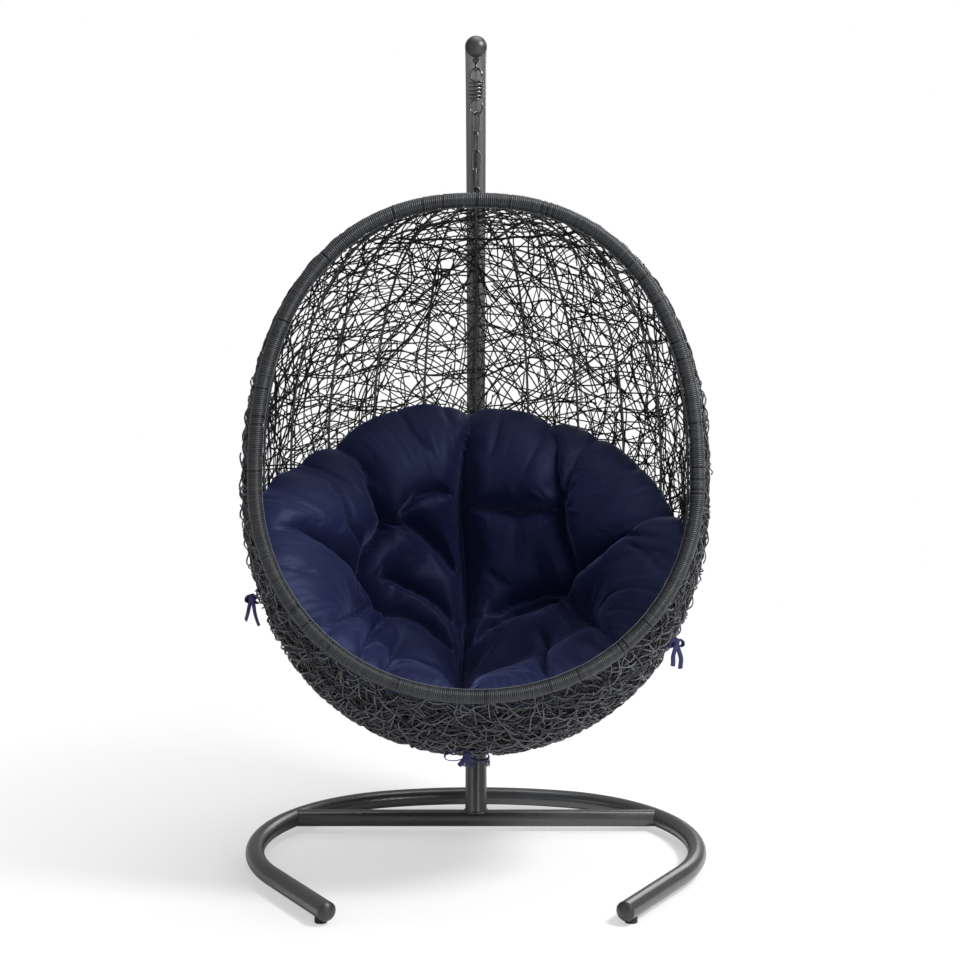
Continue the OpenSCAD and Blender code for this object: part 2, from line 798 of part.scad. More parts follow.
// Front rib from the plate's rim at angle fan, to the angle end_a round the hoop
module front_rib(plate_d, h, edge_y, fan, pole_a, end_a, inset) {
    start_r = plate_d / 2 + 6 * soft_gap;
    a0 = asin(start_r * sin(fan) / h);
    u0 = asin(start_r * cos(fan) / edge_y * sin(front_turn)) / front_turn;
    rib([
        for (i = [0 : front_rib_rings])
            let (k = i / front_rib_rings, u = u0 + (front_rib_end - u0) * k)
            front_point(pole_a + a0 + (end_a - a0) * k, u, inset + front_rib_lean * k)
    ]);
}

// Short ribs from the plates out to the hoop, in the front wall
module ribs_front_top() {
    color(steel_grey) for (k = [-2 : 2])
        front_rib(top_plate_d, egg_up, hang_y - edge_point(0, 0)[1], 15 * k, 0, 13 * k,
            front_rib_in[0]);
}

module ribs_front_bottom() {
    color(steel_grey) for (k = [-3 : 3])
        front_rib(bottom_plate_d, egg_down, hang_y - edge_point(180, 0)[1], 22 * k, 180, 22 * k,
            front_rib_in[1]);
}

// ---- rim ----

rim_rings = 72;
rim_sides = 10;
function rim_point(a) = in_rim_plane(rim_r(a) * sin(a), rim_r(a) * cos(a), 0);
function rim_ring(k, r) =
    let (a = k * 360 / rim_rings, t = unit(rim_point(a + 1) - rim_point(a - 1)))
    wire_ring(rim_point(a), t, [0, cos(rim_tilt), -sin(rim_tilt)], r, rim_sides);

module rim_hoop() {
    color(steel_grey) loop_solid([for (k = [0 : rim_rings - 1]) rim_ring(k, hoop_d / 2)]);
}

// Sleeve of wound strand round the hoop, its two ends meeting at the bottom
wrap_seam_a = 0.1;
function wrap_ring(k, r) =
    let (
        a = 180 + wrap_seam_a + (360 - 2 * wrap_seam_a) * k / rim_rings,
        t = unit(rim_point(a + 1) - rim_point(a - 1))
    )
    wire_ring(rim_point(a), t, [0, cos(rim_tilt), -sin(rim_tilt)], r, rim_sides);

module rim_wrap() {
    n = rim_sides;
    bore = (rim_rings + 1) * n;             // first point of the bore
    end = rim_rings * n;
    color(strand_grey) polyhedron(
        points = cat([
            for (r = [wrap_r, hoop_d / 2 + hang_gap], k = [0 : rim_rings]) wrap_ring(k, r)
        ]),
        faces = [
            for (k = [0 : rim_rings - 1]) let (a = k * n) each concat(
                band(a, a + n, n), flipped(band(bore + a, bore + a + n, n))
            ),
            each flipped(band(0, bore, n)),
            each band(end, bore + end, n)
        ],
        convexity = 10
    );
}

// ---- woven wall ----

loop_n = 60;         // points in one loop of the wall
back_rings = 10;
front_rings = 4;
wall_rings = back_rings + front_rings;
function wall_ring(k, inset) = [
    for (i = [0 : loop_n - 1])
        let (a = i * 360 / loop_n)
        k <= back_rings ? wall_point(a, 90 * k / back_rings, inset)
            : front_point(a, (k - back_rings) / front_rings, inset)
];

module basket_weave() {
    skin = 1 + wall_rings * loop_n;         // points in one skin, with its pole
    fan = [for (i = [0 : loop_n - 1]) [0, 1 + i, 1 + (i + 1) % loop_n]];
    belts = [for (k = [0 : wall_rings - 2]) each band(1 + k * loop_n, 1 + (k + 1) * loop_n, loop_n)];
    outer_faces = concat(fan, belts);
    lip = 1 + (wall_rings - 1) * loop_n;
    color(strand_grey) difference() {
        polyhedron(
            points = cat([
                for (inset = [0, weave_t]) each concat(
                    [[wall_point(0, 0, inset)]],
                    [for (k = [1 : wall_rings]) wall_ring(k, inset)]
                )
            ]),
            faces = concat(
                outer_faces,
                [for (f = flipped(outer_faces)) f + [skin, skin, skin]],
                band(lip, skin + lip, loop_n)
            ),
            convexity = 10
        );
        translate([0, hang_y, egg_top_z - 3 * weave_t]) cylinder(r = hub_hole_r, h = 6 * weave_t);
    }
}

// ---- cushion ----

// Distance from the egg's centre to the front wall along the unit direction d
function front_reach_r(d, r, tries) =
    tries == 0 ? r :
    let (
        p = r * d,
        edge_y = rim_front - edge_back,
        g = min(1, max(0, -p[1] / edge_y)),
        m = (1 - cos(asin(g * sin(front_turn)))) / (1 - cos(front_turn)),
        mid = m * rim_lift,
        a = atan2(p[0], p[2] - mid),
        oval = (1 - m) * egg_r(a) + m * (rim_r(a) + edge_out),
        now = norm([p[0], p[2] - mid])
    )
    front_reach_r(d, r * (1 + 0.7 * (oval / max(now, 1) - 1)), tries - 1);

// Outside of the cushion: the wall with its ribs, and a plane behind the hoop
function cushion_outer_r(d) =
    let (
        wall = (d[1] >= 0 ? egg_r(acos(d[2])) : front_reach_r(d, egg_r(acos(d[2])), 9)) - cushion_in,
        back = [0, cos(rim_tilt), -sin(rim_tilt)],
        run = back * [0, rim_front, -rim_lift] - cushion_behind,
        ahead = max(0.001, -(back * d)),
        soft = 16
    )
    pow(pow(wall, -soft) + pow(run / ahead, -soft), -1 / soft);

function cushion_dir(v, phi) =
    let (
        base = cos(phi) > 0 ? cushion_front_a : cushion_rear_a,
        reach = base + (cushion_side_a - base) * pow(sin(phi), 4),
        a = v * reach,
        tilt = cushion_back_tilt
    )
    [
        sin(a) * sin(phi),
        cos(a) * sin(tilt) - sin(a) * cos(phi) * cos(tilt),
        -cos(a) * cos(tilt) - sin(a) * cos(phi) * sin(tilt)
    ];

tuft_v = 0.5;                        // tufts lie half way out, two in each half
tuft_phis = [48, 132, 228, 312];
tuft_wide = 0.13;
crease_wide = 0.07;
channel_d = 16;
channel_n = 10;
function bump(x, wide) = exp(-pow(x / wide, 2));
function cushion_t(v, phi) =
    let (
        p = v * [cos(phi), sin(phi)],
        tufts = max([for (q = tuft_phis) bump(norm(p - tuft_v * [cos(q), sin(q)]), tuft_wide)]),
        crease = bump(p[1], crease_wide),
        channel = pow(cos(channel_n * phi / 2), 8) * pow(v, 2),
        crown = seat_t + (roll_t - seat_t) * pow(sin(min(90, 110 * v)), 4)
    )
    (crown - tuft_d * tufts - crease_d * crease - channel_d * channel) * sqrt(1 - pow(v, 7));

cushion_n = 40;
cushion_steps = 14;
function cushion_v(i) = 1 - pow(1 - i / cushion_steps, 1.5);
function cushion_ring(i, top) = [
    for (k = [0 : cushion_n - 1])
        let (
            phi = k * 360 / cushion_n,
            v = cushion_v(i),
            d = cushion_dir(v, phi),
            r = cushion_outer_r(d) - (top ? cushion_t(v, phi) : 0)
        )
        [r * d[0], hang_y + r * d[1], egg_z + r * d[2]]
];

module cushion() {
    n = cushion_n;
    under = 1 + (cushion_steps - 1) * n;    // first point of the underside
    lip = under + 1 + (cushion_steps - 1) * n;
    function skin(first) = concat(
        [for (i = [0 : n - 1]) [first, first + 1 + i, first + 1 + (i + 1) % n]],
        [for (k = [0 : cushion_steps - 3]) each band(first + 1 + k * n, first + 1 + (k + 1) * n, n)]
    );
    last = 1 + (cushion_steps - 2) * n;
    color(navy) polyhedron(
        points = cat([
            for (top = [true, false]) each concat(
                [[cushion_ring(0, top)[0]]],
                [for (i = [1 : cushion_steps - 1]) cushion_ring(i, top)]
            ),
            cushion_ring(cushion_steps, false)
        ]),
        faces = concat(
            flipped(skin(0)),
            skin(under),
            flipped(band(last, lip, n)),
            band(under + last, lip, n)
        ),
        convexity = 10
    );
}

// ---- ties ----

tail_spread = 12;
// Knot with two loops and two hanging tails; the knot sits in the weave's face
module tie(p, turn, loops) {
    translate(p) rotate([0, 0, turn]) {
        sphere(knot_r);
        for (side = [-1, 1]) {
            rotate([0, side * tail_spread, 0]) translate([-ribbon_w / 2, -ribbon_t / 2, -tail_len])
                cube([ribbon_w, ribbon_t, tail_len]);
            if (loops)
                translate([side * 14, 0, 0]) rotate([90, 0, 0])
                    linear_extrude(ribbon_t, center = true) tube_section(9, 3);
        }
    }
}

// Where a tie comes out of the wall: loop angle a, run u to the front, and the outward step
function tie_point(a, u) =
    let (p = front_point(a, u, 0), q = front_point(a, u, 10))
    p + unit(p - q) * knot_r * 0.6;

module tie_left() {
    color(navy) tie(tie_point(-115, 0.25), 100, false);
}

module tie_right() {
    color(navy) tie(tie_point(127, 0.5), 110, false);
}

module tie_bottom() {
    color(navy) tie(tie_point(182, 0.35), 0, true);
}

base_rear();
base_left();
base_right();
crossbar();
foot_cap_left();
foot_cap_right();
foot_pads();
post_socket();
socket_bolt();
socket_washers();
socket_nut();
post_lower();
post_sleeve();
post_upper();
joint_screws();
top_cap();
eye_bolt();
eye_washers();
eye_cap_nut();
spring_top_hook();
spring_coil();
spring_bottom_hook();
chain_link_1();
chain_link_2();
chain_link_3();
chain_link_4();
basket_eye();
basket_eye_nut();
top_plate();
bottom_plate();
ribs_back();
ribs_front_top();
ribs_front_bottom();
rim_hoop();
rim_wrap();
basket_weave();
cushion();
tie_left();
tie_right();
tie_bottom();
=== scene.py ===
"""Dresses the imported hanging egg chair: finishes, woven wall, wound rim, cushion, ties and stage."""
import logging
import math
from collections.abc import Callable, Sequence
from dataclasses import dataclass
from enum import Enum

import bmesh
import bpy
import numpy as np
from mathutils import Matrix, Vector


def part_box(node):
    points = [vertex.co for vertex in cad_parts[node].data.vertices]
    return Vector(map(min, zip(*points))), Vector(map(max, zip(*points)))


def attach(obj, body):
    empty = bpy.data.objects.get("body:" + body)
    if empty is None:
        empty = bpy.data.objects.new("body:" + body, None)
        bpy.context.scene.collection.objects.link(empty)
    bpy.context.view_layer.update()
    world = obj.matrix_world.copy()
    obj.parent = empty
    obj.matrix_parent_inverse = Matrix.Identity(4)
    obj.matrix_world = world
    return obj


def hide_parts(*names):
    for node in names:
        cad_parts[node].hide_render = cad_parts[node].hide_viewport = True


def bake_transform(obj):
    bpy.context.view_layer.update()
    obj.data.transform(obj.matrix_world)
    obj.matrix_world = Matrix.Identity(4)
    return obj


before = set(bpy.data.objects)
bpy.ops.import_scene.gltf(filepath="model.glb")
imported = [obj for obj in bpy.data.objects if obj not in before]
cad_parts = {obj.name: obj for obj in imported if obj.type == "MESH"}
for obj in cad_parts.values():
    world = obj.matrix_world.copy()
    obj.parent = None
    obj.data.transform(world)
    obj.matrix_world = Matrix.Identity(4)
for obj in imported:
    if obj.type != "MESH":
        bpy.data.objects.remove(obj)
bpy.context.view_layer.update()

LOG = logging.getLogger("egg_chair")
MM = 0.001
Array = np.ndarray
Colour = tuple[float, float, float]
Place = Callable[[Array, Array], Array]
FULL_TURN = 2 * math.pi
# random starts of waves are drawn from 0 to this
PHASES = 6.28
UP = np.array([0.0, 0.0, 1.0])


# ---------------------------------------------------------------- shader maths


class Wave:
    """A number that varies over a surface; arithmetic on it adds Math nodes."""

    def __init__(self, nodes: "Nodes", socket: bpy.types.NodeSocket) -> None:
        """Wraps one output socket of a node tree."""
        self.nodes = nodes
        self.socket = socket

    def _math(self, operation: str, left: object, right: object = 0.0) -> "Wave":
        """Adds one Math node.

        Args:
            operation: Blender's name of the operation.
            left: first operand, a Wave or a number.
            right: second operand, a Wave or a number.

        Returns:
            The result.
        """
        node = self.nodes.node("ShaderNodeMath", {"operation": operation}, {0: left, 1: right})
        return Wave(self.nodes, node.outputs[0])

    def __add__(self, other: object) -> "Wave":
        """Sum."""
        return self._math("ADD", self, other)

    def __sub__(self, other: object) -> "Wave":
        """Difference."""
        return self._math("SUBTRACT", self, other)

    def __mul__(self, other: object) -> "Wave":
        """Product."""
        return self._math("MULTIPLY", self, other)

    def clamped(self) -> "Wave":
        """The value kept between 0 and 1."""
        return self._math("MINIMUM", self._math("MAXIMUM", self, 0.0), 1.0)

    def above(self, low: float, high: float) -> "Wave":
        """A ramp that is 0 below low and 1 above high."""
        return ((self - low) * (1.0 / (high - low))).clamped()


class Nodes:
    """An emptied node tree, and the one way in which nodes are added to it."""

    def __init__(self, owner: bpy.types.Material | bpy.types.World) -> None:
        """Turns nodes on for a material or a world, and clears them."""
        owner.use_nodes = True
        self.tree = owner.node_tree
        self.tree.nodes.clear()

    def node(self, kind: str, settings: dict[str, object] | None = None,
             inputs: dict[str | int, object] | None = None) -> bpy.types.Node:
        """Adds a node.

        Args:
            kind: the node's type.
            settings: its own settings, such as an operation.
            inputs: values or links for its sockets, by name or number.

        Returns:
            The node.
        """
        made = self.tree.nodes.new(kind)
        for key, value in (settings or {}).items():
            setattr(made, key, value)
        for key, value in (inputs or {}).items():
            self.feed(made.inputs[key], value)
        return made

    def feed(self, socket: bpy.types.NodeSocket, value: object) -> None:
        """Links a Wave or an output socket to a socket, or sets its value."""
        if isinstance(value, Wave):
            self.join(value.socket, socket)
        elif isinstance(value, bpy.types.NodeSocket):
            self.join(value, socket)
        elif socket.type == "RGBA" and len(value) == 3:
            socket.default_value = (*value, 1.0)
        else:
            socket.default_value = value

    def join(self, source: bpy.types.NodeSocket, target: bpy.types.NodeSocket) -> None:
        """Links two sockets."""
        self.tree.links.new(source, target)

    def camera_share(self) -> Wave:
        """1 for rays from the camera, straight or through something, else 0."""
        path = self.node("ShaderNodeLightPath")
        return (Wave(self, path.outputs["Is Camera Ray"])
                + Wave(self, path.outputs["Is Transmission Ray"])).clamped()


class Shader(Nodes):
    """One material and its nodes, round a Principled shader."""

    def __init__(self, name: str, sockets: dict[str, object]) -> None:
        """Makes the material.

        Args:
            name: the material's name.
            sockets: constants for the Principled shader, by socket name.
        """
        self.material = bpy.data.materials.new(name)
        super().__init__(self.material)
        self.output = self.node("ShaderNodeOutputMaterial")
        self.surface = self.node("ShaderNodeBsdfPrincipled", None, sockets)
        self.join(self.surface.outputs[0], self.output.inputs["Surface"])
        self.material.diffuse_color = (*sockets["Base Color"][:3], 1.0)

    def place(self, scale: Sequence[float] = (1, 1, 1)) -> bpy.types.NodeSocket:
        """Object coordinates, scaled.

        Args:
            scale: factor along each axis.

        Returns:
            The vector's socket.
        """
        where = self.node("ShaderNodeTexCoord")
        sized = self.node("ShaderNodeMapping", None, {0: where.outputs["Object"], "Scale": scale})
        return sized.outputs[0]

    def noise(self, scale: float, detail: float = 2.0, rough: float = 0.5,
              stretch: Sequence[float] = (1, 1, 1)) -> Wave:
        """Noise between about 0.3 and 0.7.

        Args:
            scale: how fine it is, per metre.
            detail: octaves.
            rough: weight of the finer octaves.
            stretch: factor along each axis.

        Returns:
            The noise.
        """
        made = self.node("ShaderNodeTexNoise", None, {
            "Vector": self.place(stretch), "Scale": scale, "Detail": detail, "Roughness": rough})
        return Wave(self, made.outputs[0])

    def attribute(self, name: str) -> Wave:
        """A number stored on the mesh."""
        made = self.node("ShaderNodeAttribute", {"attribute_name": name})
        return Wave(self, made.outputs["Fac"])

    def blend(self, factor: object, first: object, second: object) -> bpy.types.NodeSocket:
        """Mixes two colours.

        Args:
            factor: 0 gives the first, 1 the second.
            first: a colour or a socket.
            second: a colour or a socket.

        Returns:
            The mixed colour's socket.
        """
        made = self.node("ShaderNodeMix", {"data_type": "RGBA"}, {0: factor, 6: first, 7: second})
        return made.outputs[2]

    def paint(self, socket: str, value: object) -> None:
        """Feeds one of the Principled shader's sockets."""
        self.feed(self.surface.inputs[socket], value)

    def bump(self, height: Wave, strength: float, depth: float) -> None:
        """Adds relief.

        Args:
            height: the relief's height.
            strength: Bump's strength.
            depth: metres for a height of 1.
        """
        made = self.node("ShaderNodeBump", None, {
            "Strength": strength, "Distance": depth, "Height": height})
        self.join(made.outputs[0], self.surface.inputs["Normal"])


# ---------------------------------------------------------------- finishes


class Sheen(Enum):
    """How glossy a finish is: the Principled shader's roughness."""

    SATIN = 0.28
    PLATED = 0.30
    MOULDED = 0.40
    CLOTH = 0.55
    RUBBER = 0.70


@dataclass(frozen=True)
class PowderCoat:
    """Fine-grained powder coating on steel tube."""

    name: str = "powder_coat"
    colour: Colour = (0.027, 0.028, 0.030)
    worn: Colour = (0.043, 0.045, 0.048)
    sheen: Sheen = Sheen.SATIN
    gloss: float = 0.95
    grain: float = 1400.0

    def make(self) -> bpy.types.Material:
        """Builds the material."""
        shader = Shader(self.name, {
            "Base Color": self.colour, "Roughness": self.sheen.value,
            "Specular IOR Level": self.gloss})
        cloud = shader.noise(9.0, 3.0)
        dust = shader.noise(self.grain, 1.0)
        shader.paint("Base Color", shader.blend(
            (cloud * 0.7 + dust * 0.5 - 0.35).clamped(), self.colour, self.worn))
        shader.paint("Roughness", (cloud - 0.5) * 0.16 + self.sheen.value)
        shader.bump(dust + shader.noise(320.0, 1.0) * 0.6, 0.22, 0.00012)
        return shader.material


@dataclass(frozen=True)
class Moulded:
    """Moulded plastic or rubber, with a faint skin texture."""

    name: str
    colour: Colour
    sheen: Sheen = Sheen.MOULDED
    skin: float = 700.0
    paler: float = 1.7

    def make(self) -> bpy.types.Material:
        """Builds the material."""
        shader = Shader(self.name, {"Base Color": self.colour, "Roughness": self.sheen.value})
        grain = shader.noise(self.skin, 2.0)
        pale = tuple(min(1.0, c * self.paler + 0.004) for c in self.colour)
        shader.paint("Base Color", shader.blend(shader.noise(30.0, 3.0).above(0.35, 0.8),
                                                self.colour, pale))
        shader.paint("Roughness", (grain - 0.5) * 0.18 + self.sheen.value)
        shader.bump(grain, 0.18, 0.0001)
        return shader.material


@dataclass(frozen=True)
class BareSteel:
    """Plated or blued steel with brushed streaks."""

    name: str
    colour: Colour
    tarnish: Colour
    sheen: Sheen = Sheen.PLATED

    def make(self) -> bpy.types.Material:
        """Builds the material."""
        shader = Shader(self.name, {
            "Base Color": self.colour, "Roughness": self.sheen.value, "Metallic": 1.0})
        streak = shader.noise(260.0, 3.0, 0.6, (1.0, 1.0, 0.25))
        patch = shader.noise(45.0, 3.0)
        shader.paint("Base Color", shader.blend(patch.above(0.4, 0.72), self.colour, self.tarnish))
        shader.paint("Roughness", (streak - 0.5) * 0.3 + self.sheen.value)
        shader.bump(streak, 0.15, 0.0001)
        return shader.material


@dataclass(frozen=True)
class Strand:
    """Extruded wicker strand: fine lengthwise ribbing and a stored tone that blends dark to pale.
    The tone holds random variation per strand and also painted light: painted highlight on the
    outer weave and the edge cord, painted shade in the rim's grooves.
    """

    name: str
    dark: Colour
    pale: Colour
    roughness: float
    gloss: float = 0.36

    def make(self) -> bpy.types.Material:
        """Builds the material."""
        shader = Shader(self.name, {
            "Base Color": self.dark, "Roughness": self.roughness,
            "Specular IOR Level": self.gloss})
        # the stored tone is partly random and partly painted highlight and painted shade
        tone = shader.attribute("tone")
        fleck = shader.noise(420.0, 2.0)
        shader.paint("Base Color", shader.blend(
            (tone * 0.75 + (fleck - 0.5) * 0.7).clamped(), self.dark, self.pale))
        shader.paint("Roughness", (fleck - 0.5) * 0.25 + self.roughness)
        shader.bump(fleck, 0.3, 0.00015)
        return shader.material


@dataclass(frozen=True)
class SatinCloth:
    """Satin-faced polyester: fine twill, faint creasing and a bluish sheen."""

    name: str
    colour: Colour
    pale: Colour
    sheen_tint: Colour
    sheen: Sheen = Sheen.CLOTH
    sheen_weight: float = 0.24
    sheen_roughness: float = 0.42
    gloss: float = 0.28
    gloss_tint: Colour = (0.50, 0.60, 1.0)
    twill: float = 900.0

    def make(self) -> bpy.types.Material:
        """Builds the material."""
        shader = Shader(self.name, {
            "Base Color": self.colour, "Roughness": self.sheen.value,
            "Sheen Weight": self.sheen_weight, "Sheen Roughness": self.sheen_roughness,
            "Sheen Tint": self.sheen_tint, "Specular IOR Level": self.gloss,
            "Specular Tint": self.gloss_tint})
        cloud = shader.noise(6.0, 3.0, 0.5)
        rumple = shader.noise(20.0, 3.0, 0.5)
        thread = self._threads(shader)
        shader.paint("Base Color", shader.blend(
            (cloud.above(0.3, 0.75) * 0.5 + (thread - 0.5) * 0.22).clamped(),
            self.colour, self.pale))
        shader.paint("Roughness", (rumple - 0.5) * 0.15 + self.sheen.value)
        shader.bump(thread * 0.10 + rumple, 0.15, 0.0008)
        return shader.material

    def _threads(self, shader: Shader) -> Wave:
        """Diagonal twill lines crossed with a finer noise."""
        line = shader.node("ShaderNodeTexWave", {
            "wave_type": "BANDS", "bands_direction": "DIAGONAL", "wave_profile": "SIN"}, {
            "Vector": shader.place(), "Scale": self.twill, "Distortion": 1.5, "Detail": 1.0})
        return Wave(shader, line.outputs[1]) * 0.6 + shader.noise(self.twill * 1.6, 1.0) * 0.4


# ---------------------------------------------------------------- meshes


def show(name: str, data: bpy.types.ID) -> bpy.types.Object:
    """Puts a mesh, curve, light or camera into the scene as an object at the origin."""
    made = bpy.data.objects.new(name, data)
    bpy.context.scene.collection.objects.link(made)
    return made


def finish_mesh(name: str, bm: bmesh.types.BMesh, material: bpy.types.Material) -> bpy.types.Object:
    """Turns a bmesh into a smooth-shaded object at the origin.

    Args:
        name: the object's name.
        bm: the mesh, freed here.
        material: its finish.

    Returns:
        The object.
    """
    mesh = bpy.data.meshes.new(name)
    bm.to_mesh(mesh)
    bm.free()
    mesh.materials.append(material)
    mesh.polygons.foreach_set("use_smooth", [True] * len(mesh.polygons))
    return show(name, mesh)


def skin(columns: int, rows: int, place: Place, tone: Place | None = None,
         weld: float = 1e-6) -> bmesh.types.BMesh:
    """A grid laid over a surface and welded where it meets itself.

    Args:
        columns: faces along u.
        rows: faces along v.
        place: gives points for arrays of u and v, each from 0 to 1.
        tone: gives a number per point, stored as "tone".
        weld: distance below which points become one.

    Returns:
        The mesh, with its faces pointing outwards.
    """
    bm = bmesh.new()
    bmesh.ops.create_grid(bm, x_segments=columns, y_segments=rows, size=0.5)
    flat = np.array([v.co[:2] for v in bm.verts]) + 0.5
    points = place(flat[:, 0], flat[:, 1])
    layer = bm.verts.layers.float.new("tone") if tone else None
    tones = tone(flat[:, 0], flat[:, 1]) if tone else None
    for i, vert in enumerate(bm.verts):
        vert.co = points[i]
        if tone:
            vert[layer] = float(tones[i])
    bmesh.ops.remove_doubles(bm, verts=bm.verts, dist=weld)
    bmesh.ops.recalc_face_normals(bm, faces=bm.faces)
    return bm


def tubes(name: str, paths: Sequence[Array], radii: Sequence[float], tones: Sequence[float],
          material: bpy.types.Material, sides: int = 1, cyclic: bool = False) -> bpy.types.Object:
    """Round rods along many paths, as one mesh.

    Args:
        name: the object's name.
        paths: points of each rod's centre line.
        radii: radius of each rod.
        tones: number stored on each rod as "tone".
        material: its finish.
        sides: bevel resolution; 0 gives 4 sides, 1 gives 6.
        cyclic: whether each rod closes on itself.

    Returns:
        The object.
    """
    curve = bpy.data.curves.new(name + "_path", "CURVE")
    curve.dimensions = "3D"
    curve.bevel_depth = 1.0
    curve.bevel_resolution = sides
    curve.use_fill_caps = not cyclic
    for path, radius in zip(paths, radii):
        spline = curve.splines.new("POLY")
        spline.points.add(len(path) - 1)
        spline.use_cyclic_u = cyclic
        spline.points.foreach_set("co", np.c_[path, np.ones(len(path))].astype(np.float32).ravel())
        spline.points.foreach_set("radius", np.full(len(path), radius, np.float32))
    carrier = show(name + "_path", curve)
    mesh = bpy.data.meshes.new_from_object(carrier.evaluated_get(
        bpy.context.evaluated_depsgraph_get()))
    bpy.data.objects.remove(carrier)
    mesh.name = name
    mesh.materials.clear()
    mesh.materials.append(material)
    mesh.polygons.foreach_set("use_smooth", [True] * len(mesh.polygons))
    ring = len(mesh.vertices) // sum(len(p) for p in paths)
    values = np.repeat(np.asarray(tones, float), [len(p) * ring for p in paths])
    stored = mesh.attributes.new("tone", "FLOAT", "POINT")
    padded = np.zeros(len(mesh.vertices))
    padded[:min(len(values), len(padded))] = values[:len(padded)]
    stored.data.foreach_set("value", padded.astype(np.float32))
    return show(name, mesh)


def unit(v: Array) -> Array:
    """Vectors of length 1, along the last axis."""
    return v / np.maximum(np.linalg.norm(v, axis=-1, keepdims=True), 1e-12)


def middle_of(node: str) -> Vector:
    """Middle of a CAD node's box."""
    low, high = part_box(node)
    return (low + high) / 2


def on_basket(made: bpy.types.Object) -> None:
    """Lets a piece ride on the basket."""
    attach(made, "basket")


def dress(names: Sequence[str], material: bpy.types.Material) -> None:
    """Gives CAD nodes a finish.

    Args:
        names: the nodes.
        material: their finish.
    """
    for name in names:
        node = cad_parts[name]
        node.data.materials.clear()
        node.data.materials.append(material)


# ---------------------------------------------------------------- the egg's shape


@dataclass(frozen=True)
class Oval:
    """A rounded oval with its own height above and below, in metres."""

    half_w: float
    up: float
    down: float
    round_up: float
    round_down: float

    def radius(self, a: Array) -> Array:
        """Distance from the centre at angles a from the top."""
        high = np.cos(a) >= 0
        power = np.where(high, self.round_up, self.round_down)
        height = np.where(high, self.up, self.down)
        return (np.abs(np.sin(a) / self.half_w) ** power
                + np.abs(np.cos(a) / height) ** power) ** (-1.0 / power)


@dataclass(frozen=True)
class Egg:
    """The basket's outer surface and the hoop round its mouth."""

    hang_y: float
    level_z: float
    wall: Oval = Oval(0.525, 0.673, 0.595, 2.3, 2.1)
    hoop: Oval = Oval(0.477, 0.606, 0.463, 2.3, 2.08)
    hoop_lift: float = 0.055
    hoop_front: float = 0.220
    hoop_tilt: float = math.radians(6.0)
    edge_back: float = 0.0152
    edge_out: float = 0.008
    front_turn: float = math.radians(50.0)
    ease: float = 0.7

    @property
    def centre(self) -> Array:
        """Middle of the egg at its widest level."""
        return np.array([0.0, self.hang_y, self.level_z])

    @property
    def back(self) -> Array:
        """Direction square to the hoop's plane, into the basket."""
        return np.array([0.0, math.cos(self.hoop_tilt), -math.sin(self.hoop_tilt)])

    def in_hoop_plane(self, x: Array, up: Array, back: Array | float) -> Array:
        """Points by their place in the hoop's leaning plane and behind it."""
        sin, cos = math.sin(self.hoop_tilt), math.cos(self.hoop_tilt)
        return np.stack([
            x, self.hang_y - self.hoop_front + up * sin + back * cos,
            self.level_z + self.hoop_lift + up * cos - back * sin], -1)

    def hoop_point(self, a: Array, out: Array | float = 0.0, back: Array | float = 0.0) -> Array:
        """Points round the hoop at angles a from its top, moved outwards and back."""
        r = self.hoop.radius(a) + out
        return self.in_hoop_plane(r * np.sin(a), r * np.cos(a), back)

    def behind_hoop(self, p: Array) -> Array:
        """Distance of points behind the hoop's plane."""
        return (p - self.in_hoop_plane(np.zeros(1), np.zeros(1), 0.0)) @ self.back

    def reach(self, d: Array, tries: int = 14) -> Array:
        """Distance from the centre to the wall along unit directions d."""
        r = self.wall.radius(np.arccos(np.clip(d[:, 2], -1, 1)))
        front = d[:, 1] < 0
        sin, cos = math.sin(self.hoop_tilt), math.cos(self.hoop_tilt)
        lift = self.hoop_lift - self.edge_back * sin
        a = np.arctan2(d[:, 0], d[:, 2])
        found = r.copy()
        for _ in range(tries):
            p = found[:, None] * d
            edge_r = self.hoop.radius(a) + self.edge_out
            edge_y = self.hoop_front - edge_r * np.cos(a) * sin - self.edge_back * cos
            run = np.clip(-p[:, 1] / edge_y, 0, 1)
            mix = (1 - np.cos(np.arcsin(run * math.sin(self.front_turn)))) / (
                1 - math.cos(self.front_turn))
            a = np.arctan2(p[:, 0], p[:, 2] - mix * lift)
            size = (1 - mix) * self.wall.radius(a) + mix * edge_r
            now = np.hypot(p[:, 0], p[:, 2] - mix * lift)
            step = 1 + self.ease * (size / np.maximum(now, 1e-3) - 1)
            found = np.where(front, found * step, found)
        return np.where(front, found, r)


# ---------------------------------------------------------------- stand and hanger


